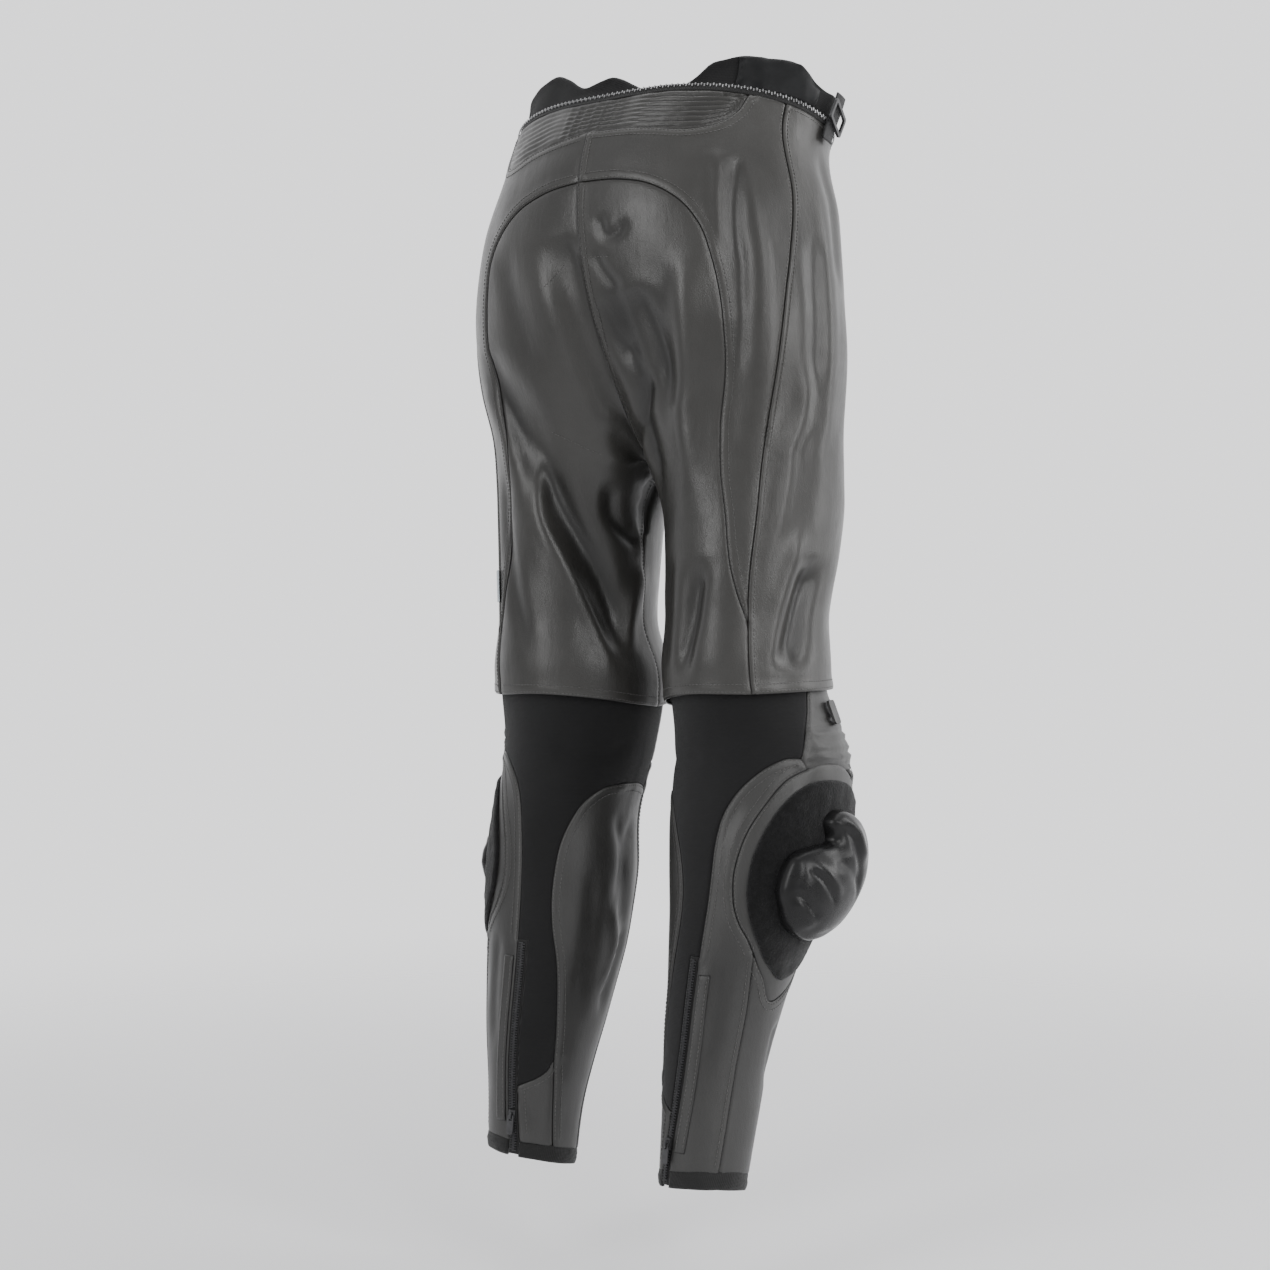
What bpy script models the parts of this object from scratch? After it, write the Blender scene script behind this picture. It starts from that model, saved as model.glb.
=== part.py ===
"""Leather motorcycle trousers, worn form: seat and thighs in leather, stretch calf
tubes, leather knee and shin pieces, knee pads, calf zips and an inner waistband.

Metres, +Z up. The wearer faces -Y and the wearer's left is +X. The origin is the
centre of the waist, level with the seam between the leather and the waistband.

The cloth is drawn on one smooth surface. A point of it has two coordinates:
  u     0 centre front (and inseam), 0.5 outer side, 1 centre back (and inseam)
  drop  metres below the waist
Every panel is an outline on that surface, filled with triangles and given its
wall with a Solidify modifier.
"""
import bpy
import bmesh
import math
import numpy as np
from mathutils import Vector, Matrix
from mathutils.geometry import delaunay_2d_cdt

# ---------------------------------------------------------------- sizes (metres)
LEATHER = 0.0014          # wall of the leather panels
STRETCH = 0.0012          # wall of the stretch panels
BAND = 0.0020             # wall of the inner waistband
SEAM_HALF = 0.00016       # half the gap between two panels at a seam
INSET = 0.0030            # row of points just inside every edge, as a seam allowance
STEP = 0.040              # spacing of the points inside a panel
EDGE_STEP = 0.029         # spacing of the points along a seam
CUFF_STEP = 0.017         # and round the narrow ankle
HEM_FLARE = 0.0062        # the thigh hem stands off the stretch tube by this
HEM_DROP = 0.549          # thigh hem below the waist, at the back of the leg
HEM_FLARE_REACH = 0.075
ZIP_TAPE_RISE = 0.007     # waist zip tape above the leather's top edge
BAND_INSET = 0.0048       # the inner waistband lies this far inside the leather
CUFF_HEIGHT = 0.0155
CUFF_WALL = 0.0024
PATCH_WALL = 0.0030       # hook-and-loop patch on the knee
PAD_EDGE = 0.0050         # knee pad, thickness at its rim
PAD_CROWN = 0.0150        # and at its crown, more
PLACKET_WIDTH = 0.0105

# Half sections of the body from the waist to the crotch, both sides alike.
# drop, x_out, x_in, y_mid, depth_front, depth_back, squareness
TORSO = (
    (-0.045, 0.162, -0.162, -0.006, 0.115, 0.110, 2.15),
    (0.000, 0.166, -0.162, 0.003, 0.117, 0.112, 2.15),
    (0.060, 0.162, -0.155, 0.028, 0.123, 0.119, 2.15),
    (0.120, 0.177, -0.138, 0.037, 0.125, 0.122, 2.15),
    (0.190, 0.187, -0.094, 0.045, 0.118, 0.106, 2.10),
    (0.260, 0.187, -0.040, 0.039, 0.108, 0.092, 2.05),
    (0.310, 0.179, -0.012, 0.031, 0.099, 0.086, 2.00),
    (0.350, 0.177, 0.008, 0.026, 0.093, 0.086, 2.00),
)
# Sections of each leg below the crotch.
# drop, x_out, x_in, y_mid, depth_front, depth_back, squareness, turn (degrees)
LEG_RIGHT = (
    (0.380, 0.176, 0.017, 0.024, 0.091, 0.087, 2.0, 0.0),
    (0.420, 0.172, 0.023, 0.026, 0.087, 0.087, 2.0, 0.0),
    (0.480, 0.164, 0.025, 0.030, 0.081, 0.083, 2.0, 0.0),
    (0.540, 0.160, 0.028, 0.030, 0.078, 0.076, 2.0, 0.0),
    (0.600, 0.173, 0.027, 0.027, 0.082, 0.069, 2.0, 0.0),
    (0.660, 0.172, 0.027, 0.036, 0.082, 0.067, 2.0, 0.0),
    (0.720, 0.170, 0.032, 0.043, 0.078, 0.067, 2.0, 0.0),
    (0.780, 0.151, 0.040, 0.056, 0.065, 0.061, 2.0, 0.0),
    (0.850, 0.137, 0.047, 0.072, 0.051, 0.055, 2.0, 0.0),
    (0.920, 0.131, 0.052, 0.086, 0.041, 0.049, 2.0, 2.0),
    (1.000, 0.124, 0.055, 0.100, 0.034, 0.042, 2.0, 5.0),
)
LEG_LEFT = (
    (0.380, 0.174, 0.020, 0.026, 0.089, 0.086, 2.0, 0.0),
    (0.420, 0.172, 0.025, 0.026, 0.087, 0.086, 2.0, 2.0),
    (0.480, 0.169, 0.027, 0.029, 0.084, 0.083, 2.0, 6.0),
    (0.540, 0.171, 0.019, 0.028, 0.084, 0.079, 2.0, 9.0),
    (0.600, 0.168, 0.028, 0.031, 0.076, 0.067, 2.0, 9.0),
    (0.660, 0.169, 0.038, 0.043, 0.072, 0.065, 2.0, 9.0),
    (0.720, 0.172, 0.034, 0.049, 0.072, 0.068, 2.0, 9.0),
    (0.780, 0.165, 0.037, 0.057, 0.067, 0.068, 2.0, 9.0),
    (0.850, 0.154, 0.046, 0.072, 0.055, 0.061, 2.0, 8.0),
    (0.920, 0.143, 0.057, 0.086, 0.041, 0.050, 2.0, 2.0),
    (1.000, 0.141, 0.061, 0.094, 0.033, 0.043, 2.0, -4.0),
)
# Knee cup, a soft swelling on the outer front: u, reach in u, drop, reach, height
KNEE = (0.30, 0.16, 0.66, 0.075, 0.022)
# How far round the half section the cloth runs each way from the outer side, in
# degrees: half way round at the waist, all round once the legs have parted.
OPENING = (
    (-0.045, 90.0), (0.060, 91.3), (0.120, 97.0), (0.190, 109.3), (0.260, 130.0),
    (0.310, 146.5), (0.350, 159.0), (0.400, 172.0), (0.450, 180.0), (0.453, 180.0),
    (0.500, 180.0), (1.000, 180.0),
)
# Largest folds: soft troughs (negative depth) and ridges between two ends.
# side, u_top, drop_top, u_low, drop_low, width, depth
FOLDS = (
    ("L", 0.962, 0.145, 0.986, 0.300, 0.020, -0.011),
    ("L", 0.754, 0.230, 0.925, 0.510, 0.024, -0.009),
    ("L", 0.701, 0.260, 0.865, 0.500, 0.020, 0.004),
    ("R", 0.905, 0.200, 0.850, 0.300, 0.022, -0.006),
    ("R", 0.806, 0.170, 0.787, 0.400, 0.018, 0.004),
    ("R", 0.742, 0.090, 0.727, 0.230, 0.018, -0.004),
    ("R", 0.515, 0.430, 0.575, 0.530, 0.018, -0.006),
    ("R", 0.749, 0.430, 0.790, 0.540, 0.016, -0.005),
)

# ------------------------------------------------- seams, rows of (u, drop)
WAIST_MEAN, WAIST_SLOPE, WAIST_ROLL, WAIST_SAG = 0.029, 0.014, 0.060, 0.0045
SIDE_SEAM = ((0.592, 0.070), (0.588, 0.130), (0.605, 0.175), (0.620, 0.210),
             (0.634, 0.250), (0.643, 0.295), (0.656, 0.370), (0.652, 0.420))
SIDE_TOP_U, SIDE_JOIN, SIDE_HEM = 0.608, (0.646, 0.488), (0.646, 0.5495)
SEAT_ARC = ((1.000, 0.100), (0.920, 0.104), (0.866, 0.111), (0.835, 0.119),
            (0.802, 0.132), (0.776, 0.150), (0.758, 0.177), (0.744, 0.208),
            (0.736, 0.245), (0.731, 0.280), (0.733, 0.325), (0.729, 0.360),
            (0.709, 0.400), (0.686, 0.440), (0.666, 0.466), SIDE_JOIN)
SHIRR_END_U = 0.690
SHIRR_LOW = ((0.696, 0.028), (0.708, 0.044), (0.732, 0.055), (0.775, 0.061),
             (0.810, 0.062), (0.870, 0.058), (1.0, 0.052))
HEM_BACK = ((1.0, 0.5610), (0.930, 0.5580), (0.870, 0.5540), (0.770, 0.5495), SIDE_HEM)
HEM_FRONT = (SIDE_HEM, (0.500, 0.5460), (0.300, 0.5440), (0.120, 0.5540), (0.0, 0.5610))
# knee and shin
A1, A2, A3 = (0.430, 0.6160), (0.560, 0.6135), (0.610, 0.7700)
B1 = (0.5725, 0.6040)
TOP_OUT = (0.505, 0.5300)
STRETCH_FRONT = (TOP_OUT, (0.530, 0.5620), (0.552, 0.5800), B1)
STRETCH_TOP = (TOP_OUT, (0.750, 0.5330), (1.000, 0.5450), (1.070, 0.5440))
KNEE_TOP = ((0.070, 0.5440), (0.300, 0.5300), TOP_OUT)
FRAME_TOP = (A2, (0.530, 0.6105), (0.500, 0.6095), (0.465, 0.6110), A1)
FRAME_REAR = (A2, (0.600, 0.6220), (0.642, 0.6460), (0.675, 0.6740), (0.690, 0.6980),
              (0.689, 0.7200), (0.667, 0.7420), (0.633, 0.7580), A3)
FRAME_FRONT = (A3, (0.568, 0.7900), (0.510, 0.8120), (0.450, 0.8040), (0.390, 0.7820),
               (0.340, 0.7450), (0.318, 0.7050), (0.325, 0.6650), (0.370, 0.6330), A1)
KNEE_LOW = (A1, (0.300, 0.6180), (0.180, 0.6140), (0.070, 0.6140))
KNEE_OUT = (A2, B1)
CALF_ARC = (B1, (0.600, 0.6035), (0.630, 0.6080), (0.667, 0.6190), (0.698, 0.6340),
            (0.718, 0.6510), (0.731, 0.6740), (0.738, 0.7020), (0.741, 0.7320), (0.741, 0.7720))
ZIP_TOP = ((0.741, 0.7720), (0.766, 0.7720))
ZIP_OUT = ((0.741, 0.7720), (0.741, 0.8120), (0.741, 0.8480), (0.748, 0.8860),
           (0.760, 0.9160), (0.775, 0.9490))
ZIP_IN_HIGH = ((0.766, 0.7720), (0.768, 0.8120), (0.770, 0.8480), (0.785, 0.9020))
ZIP_IN_LOW = ((0.785, 0.9020), (0.797, 0.9260), (0.813, 0.9500))
PATCH_TOP = ((0.785, 0.9020), (0.815, 0.8985), (0.845, 0.8945), (0.868, 0.8890), (0.880, 0.8800))
INNER_TOP = ((1.070, 0.6380), (1.020, 0.6330), (0.963, 0.6320))
INNER_REAR = ((0.963, 0.6320), (0.905, 0.6360), (0.868, 0.6480), (0.843, 0.6660),
              (0.824, 0.6860), (0.814, 0.7080), (0.811, 0.7320), (0.818, 0.7600),
              (0.836, 0.7900), (0.858, 0.8360), (0.880, 0.8800))
INNER_LOW = ((0.880, 0.8800), (0.903, 0.9080), (0.930, 0.9565))
DART = (A3, (0.590, 0.8200), (0.587, 0.8700), (0.590, 0.9490))
FRONT_HIGH = ((0.070, 0.5440), (0.070, 0.6140))
FRONT_MID = ((0.070, 0.6140), (0.070, 0.6380))
FRONT_LOW = ((0.070, 0.6380), (0.072, 0.7800), (0.070, 0.9645))
CUFF_FRONT = ((0.070, 0.9645), (0.180, 0.9670), (0.300, 0.9645), (0.430, 0.9570), (0.590, 0.9490))
CUFF_OUT = ((0.590, 0.9490), (0.680, 0.9475), (0.775, 0.9490))
CUFF_REAR = ((0.813, 0.9500), (0.870, 0.9525), (0.930, 0.9565))
CUFF_IN = ((0.930, 0.9565), (1.000, 0.9610), (1.070, 0.9645))
# how far the knee pad sits further round towards the front, in u
KNEE_CARRY = {"R": 0.0, "L": 0.100}
# closed outlines that lie on a panel
KNEE_PATCH = ((0.500, 0.6230), (0.557, 0.6260), (0.600, 0.6400), (0.635, 0.6640),
              (0.658, 0.6890), (0.664, 0.7120), (0.650, 0.7360), (0.612, 0.7600),
              (0.560, 0.7820), (0.500, 0.7940), (0.440, 0.7860), (0.388, 0.7640),
              (0.350, 0.7300), (0.345, 0.6920), (0.370, 0.6540), (0.430, 0.6300))
KNEE_PAD = ((0.452, 0.6530), (0.492, 0.6490), (0.513, 0.6560), (0.505, 0.6750),
            (0.540, 0.6780), (0.590, 0.6860), (0.609, 0.7080), (0.596, 0.7300),
            (0.555, 0.7500), (0.505, 0.7560), (0.440, 0.7480), (0.385, 0.7200), (0.392, 0.6840))
# inner waistband, height of its wavy top above the waist seam: u all round, rise
BAND_TOP = ((0.030, 0.035), (0.250, 0.037), (0.430, 0.0350), (0.500, 0.0310), (0.545, 0.0335),
            (0.575, 0.0400), (0.600, 0.0430), (0.640, 0.0438), (0.685, 0.0414), (0.745, 0.0395),
            (0.775, 0.0350), (0.805, 0.0292), (0.825, 0.0192), (0.845, 0.0115), (0.870, 0.0066),
            (0.917, 0.0086), (0.948, 0.0164), (0.975, 0.0241), (1.000, 0.0285), (1.025, 0.0266),
            (1.060, 0.0228), (1.110, 0.0342), (1.157, 0.0427), (1.200, 0.0425), (1.350, 0.0400),
            (1.600, 0.0390), (1.970, 0.0350))

# satin flap on the waistband: (u, rise) of its outline
FLAP = ((0.517, 0.0090), (0.600, 0.0090), (0.680, 0.0090), (0.742, 0.0090), (0.744, 0.0230),
        (0.746, 0.0370), (0.690, 0.0395), (0.640, 0.0415), (0.600, 0.0404), (0.570, 0.0355),
        (0.540, 0.0285), (0.517, 0.0260), (0.517, 0.0170))

COLOURS = {  # colour, roughness, metallic
    "leather": ((0.085, 0.083, 0.078, 1), 0.48, 0.0),
    "shin_leather": ((0.060, 0.059, 0.056, 1), 0.50, 0.0),
    "stretch": ((0.016, 0.016, 0.017, 1), 0.85, 0.0),
    "band": ((0.012, 0.012, 0.013, 1), 0.80, 0.0),
    "satin": ((0.030, 0.033, 0.038, 1), 0.35, 0.0),
    "loop": ((0.010, 0.010, 0.010, 1), 0.95, 0.0),
    "pad": ((0.045, 0.045, 0.046, 1), 0.35, 0.0),
    "zip": ((0.015, 0.015, 0.016, 1), 0.60, 0.0),
    "metal": ((0.040, 0.040, 0.042, 1), 0.35, 0.8),
    "label": ((0.75, 0.78, 0.80, 1), 0.60, 0.0),
}

for _o in list(bpy.data.objects):
    bpy.data.objects.remove(_o, do_unlink=True)
COLLECTION = bpy.data.collections.new("motorcycle_trousers")
bpy.context.scene.collection.children.link(COLLECTION)


def smooth(xs, ys, x):
    """Cubic pieces through (xs, ys), with slopes weighted from the chords."""
    h = np.diff(xs)
    chord = np.diff(ys) / h
    m = np.empty(len(xs))
    m[0], m[-1] = chord[0], chord[-1]
    m[1:-1] = (chord[:-1] * h[1:] + chord[1:] * h[:-1]) / (h[1:] + h[:-1])
    i = np.clip(np.searchsorted(xs, x) - 1, 0, len(xs) - 2)
    t = np.clip((x - xs[i]) / h[i], -0.5, 1.5)
    return ((2 * t**3 - 3 * t**2 + 1) * ys[i] + (t**3 - 2 * t**2 + t) * h[i] * m[i]
            + (-2 * t**3 + 3 * t**2) * ys[i + 1] + (t**3 - t**2) * h[i] * m[i + 1])


SECTIONS = {
    "R": np.array([r + (0.0,) for r in TORSO] + list(LEG_RIGHT), float),
    "L": np.array([r + (0.0,) for r in TORSO] + list(LEG_LEFT), float),
}
WRAP = np.array(OPENING)
SIGN = {"R": -1.0, "L": 1.0}


def crotch_drop():
    """Drop at which the two half sections close into separate legs."""
    table = SECTIONS["R"]
    low, high = 0.30, 0.35
    for _ in range(40):
        mid = (low + high) / 2
        if smooth(table[:, 0], table[:, 2], np.array([mid]))[0] < 0:
            low = mid
        else:
            high = mid
    return round((low + high) / 2, 5)


CROTCH = crotch_drop()


def knee_round(side, rows):
    """Carries the front part of the knee panel's lines further round on the left."""
    return tuple((u - KNEE_CARRY[side] * min(1.0, max(0.0, (0.60 - u) / 0.20)), d) for u, d in rows)


def hem_drop(u):
    """Drop of the thigh hem all round the leg."""
    rows = sorted(set(HEM_BACK + HEM_FRONT))
    us, ds = np.array([r[0] for r in rows]), np.array([r[1] for r in rows])
    return smooth(us, ds, np.mod(u, 1.0001))


def surface(side, u, drop, lift=0.0, part=None, halves=True):
    """Points of the trousers' outer surface, lifted along the section's normal.
    halves keeps each side on its own half, clear of the centre seam."""
    u, drop = np.asarray(u, float), np.asarray(drop, float)
    table = SECTIONS[side]
    x_out, x_in, y_mid, front, back, square, turn = (
        smooth(table[:, 0], table[:, c], drop) for c in range(1, 8))
    half, mid = (x_out - x_in) / 2, (x_out + x_in) / 2
    reach = np.arccos(-np.clip(mid / half, -1, 1))
    opening = np.radians(smooth(WRAP[:, 0], WRAP[:, 1], drop))
    v = 2 * u - 1
    # a leg's turn fades out towards the centre seams at and above the crotch
    below = np.clip((drop - CROTCH) / 0.06, 0, 1)
    below = below * below * (3 - 2 * below)
    turned = (reach / math.pi) * (1 - np.clip(np.abs(v), 0, 1)**8 * (1 - below))
    phi = v * opening + (reach - opening) * v**7 + np.radians(turn) * turned
    c, s = np.cos(phi), np.sin(phi)
    depth = np.where(s > 0, back, front)
    # outward direction of the section in plan
    nx, ny = depth * c, half * s
    size = np.hypot(nx, ny) + 1e-9
    nx, ny = nx / size, ny / size
    out = np.zeros_like(u * drop) + lift
    w = np.mod(u, 1.0) if np.all(drop > CROTCH) else u
    out = out + KNEE[4] * np.exp(-((w - KNEE[0]) / KNEE[1])**2 - ((drop - KNEE[2]) / KNEE[3])**2)
    for f_side, u0, d0, u1, d1, width, deep in FOLDS:
        if f_side != side:
            continue
        t = (drop - d0) / (d1 - d0)
        along = np.clip(1 - (2 * t - 1)**4, 0, 1) * ((t > 0) & (t < 1))
        across = (u - (u0 + (u1 - u0) * t)) * 0.48
        hold = 1 - np.clip(np.abs(v), 0, 1)**16 * (1 - below)   # none on the centre seam
        out = out + deep * along * hold * np.exp(-(across / width)**2)
    if part == "thigh":
        t = np.clip((drop - (HEM_DROP - HEM_FLARE_REACH)) / (HEM_FLARE_REACH * 0.72), 0, 1)
        out = out + HEM_FLARE * t * t * (3 - 2 * t)
    x = mid + half * c + out * nx
    y = y_mid + depth * np.sign(s) * np.abs(s)**(2 / square) + out * ny
    if halves and part != "ring":
        x = np.maximum(x, SEAM_HALF)
    return np.stack([SIGN[side] * x, y, -drop + 0 * u], -1)


def point(side, u, drop, lift=0.0, part=None, halves=True):
    """As surface(), but side "RL" runs u 0..2 all round: right side, back, left side."""
    if side != "RL":
        return surface(side, u, drop, lift, part, halves)
    u, drop = np.asarray(u, float), np.asarray(drop, float)
    right = surface("R", np.minimum(u, 1.0), drop, lift, "ring")
    left = surface("L", np.minimum(2.0 - u, 1.0), drop, lift, "ring")
    return np.where((u <= 1.0)[..., None], right, left)


def slopes(side, u, drop, part):
    """The surface's two tangents and its outward unit normal."""
    e = 1e-4
    sign_fix = np.where(np.abs(drop - CROTCH) < 2e-4, 3e-4, 0.0)
    d = drop + sign_fix
    du = (point(side, u + e, d, 0, part, False) - point(side, u - e, d, 0, part, False)) / (2 * e)
    dd = (point(side, u, d + e, 0, part, False) - point(side, u, d - e, 0, part, False)) / (2 * e)
    n = np.cross(du, dd)
    n /= np.linalg.norm(n, axis=-1, keepdims=True) + 1e-12
    where = "R" if side == "RL" else side
    table = SECTIONS[where]
    mid_x = (smooth(table[:, 0], table[:, 1], drop) + smooth(table[:, 0], table[:, 2], drop)) / 2
    mid_y = smooth(table[:, 0], table[:, 3], drop)
    axis_x = 0 * mid_x if side == "RL" else SIGN[where] * np.maximum(mid_x, 0.02)
    p = point(side, u, drop, 0, part)
    flip = np.sign(n[:, 0] * (p[:, 0] - axis_x) + n[:, 1] * (p[:, 1] - mid_y))
    flip[flip == 0] = 1
    turned = 1.0 if np.median(flip) > 0 else -1.0
    return du, dd, n * turned, turned


def girth(side):
    """Drop against the length round one half (or one leg)."""
    drops = np.linspace(-0.05, 1.0, 106)
    us = np.linspace(0, 1, 61)
    out = []
    for d in drops:
        p = surface("R" if side == "RL" else side, us, np.full_like(us, d), 0, "ring")
        out.append(np.linalg.norm(np.diff(p, axis=0), axis=1).sum())
    return drops, np.array(out)


GIRTH = {s: girth(s) for s in ("R", "L", "RL")}


def flat(side, u, drop, middle=0.0):
    """Unrolls (u, drop) into metres from a middle line, so that triangles come out even."""
    return np.stack([(u - middle) * np.interp(drop, *GIRTH[side]), drop], -1)


def trace(side, rows, step=EDGE_STEP, part=None, closed=False):
    """A smooth line through rows of (u, drop), as points about step apart."""
    rows = np.array(rows, float)
    if closed:
        rows = np.vstack([rows, rows[:1]])
    pts = flat(side, rows[:, 0], rows[:, 1])
    t = np.concatenate([[0], np.cumsum(np.linalg.norm(np.diff(pts, axis=0), axis=1))])
    fine = np.linspace(0, t[-1], 240)
    if len(rows) == 2:
        u, d = np.interp(fine, t, rows[:, 0]), np.interp(fine, t, rows[:, 1])
    elif closed:
        k = len(rows) - 1
        tt = np.concatenate([t[k - 3:k] - t[-1], t, t[-1] + t[1:4]])
        uu = np.concatenate([rows[k - 3:k, 0], rows[:, 0], rows[1:4, 0]])
        vv = np.concatenate([rows[k - 3:k, 1], rows[:, 1], rows[1:4, 1]])
        u, d = smooth(tt, uu, fine), smooth(tt, vv, fine)
    else:
        u, d = smooth(t, rows[:, 0], fine), smooth(t, rows[:, 1], fine)
    p = point(side, u, d, 0, part)
    run = np.concatenate([[0], np.cumsum(np.linalg.norm(np.diff(p, axis=0), axis=1))])
    n = max(1, int(round(run[-1] / step)))
    at = np.linspace(0, run[-1], n + 1)
    return np.stack([np.interp(at, run, u), np.interp(at, run, d)], -1)


def inside(poly, pts):
    """Which points lie in a closed polygon."""
    x, y = pts[:, 0][:, None], pts[:, 1][:, None]
    a, b = poly, np.roll(poly, -1, axis=0)
    cross = ((a[:, 1] > y) != (b[:, 1] > y)) & (
        x < (b[:, 0] - a[:, 0]) * (y - a[:, 1]) / (b[:, 1] - a[:, 1] + 1e-15) + a[:, 0])
    return cross.sum(1) % 2 == 1


def distance(poly, pts):
    """Distance of points from a closed polygon's edges."""
    a, b = poly, np.roll(poly, -1, axis=0)
    ab = b - a
    t = np.clip(((pts[:, None] - a) * ab).sum(-1) / ((ab**2).sum(-1) + 1e-15), 0, 1)
    return np.linalg.norm(pts[:, None] - (a + t[..., None] * ab), axis=-1).min(1)


def shrink(side, loop, gaps, part):
    """Moves a closed loop of (u, drop) inwards, each edge by its own gap."""
    f = flat(side, loop[:, 0], loop[:, 1])
    area = 0.5 * np.sum(f[:, 0] * np.roll(f[:, 1], -1) - np.roll(f[:, 0], -1) * f[:, 1])
    turn = 1.0 if area > 0 else -1.0
    du, dd, normal, _ = slopes(side, loop[:, 0], loop[:, 1], part)
    p = point(side, loop[:, 0], loop[:, 1], 0, part)
    e_next = np.roll(p, -1, axis=0) - p
    out = loop.copy()
    for i in range(len(loop)):
        raw = np.cross(du[i], dd[i])
        raw /= np.linalg.norm(raw) + 1e-12
        edges = (e_next[i - 1], e_next[i])
        g = (gaps[i - 1], gaps[i])
        ns = []
        for e in edges:
            v = np.cross(raw, e) * turn
            ns.append(v / (np.linalg.norm(v) + 1e-12))
        dot = float(ns[0] @ ns[1])
        if dot > 0.98:
            move = (ns[0] + ns[1]) / 2 * (g[0] + g[1]) / 2
        else:
            m = np.array([[1, dot], [dot, 1]]) + np.eye(2) * 0.03
            k = np.linalg.solve(m, np.array(g))
            move = k[0] * ns[0] + k[1] * ns[1]
        jac = np.stack([du[i], dd[i]], 1)
        q = np.linalg.lstsq(jac, move, rcond=None)[0]
        out[i] += np.clip(q, -0.02, 0.02)
    return out


MATERIALS = {}


def material(key, name):
    """One Principled material for each object."""
    colour, rough, metal = COLOURS[key]
    m = bpy.data.materials.new(name + "_" + key)
    m.use_nodes = True
    b = m.node_tree.nodes["Principled BSDF"]
    b.inputs["Base Color"].default_value = colour
    b.inputs["Roughness"].default_value = rough
    b.inputs["Metallic"].default_value = metal
    m.diffuse_color = colour
    return m


def add_object(name, verts, faces, key, wall=None, offset=-1.0, weights=None):
    """Adds a mesh; wall gives it that thickness with Solidify."""
    mesh = bpy.data.meshes.new(name)
    mesh.from_pydata([tuple(v) for v in verts], [], [tuple(int(i) for i in f) for f in faces])
    mesh.update()
    o = bpy.data.objects.new(name, mesh)
    COLLECTION.objects.link(o)
    mesh.materials.append(material(key, name))
    if wall:
        s = o.modifiers.new("wall", "SOLIDIFY")
        s.thickness = wall
        s.offset = offset
        s.use_rim = True
        if weights is not None:
            group = o.vertex_groups.new(name="height")
            for i, w in enumerate(weights):
                group.add([i], float(w), "REPLACE")
            s.vertex_group = "height"
    for p in mesh.polygons:
        p.use_smooth = True
    return o


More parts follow.
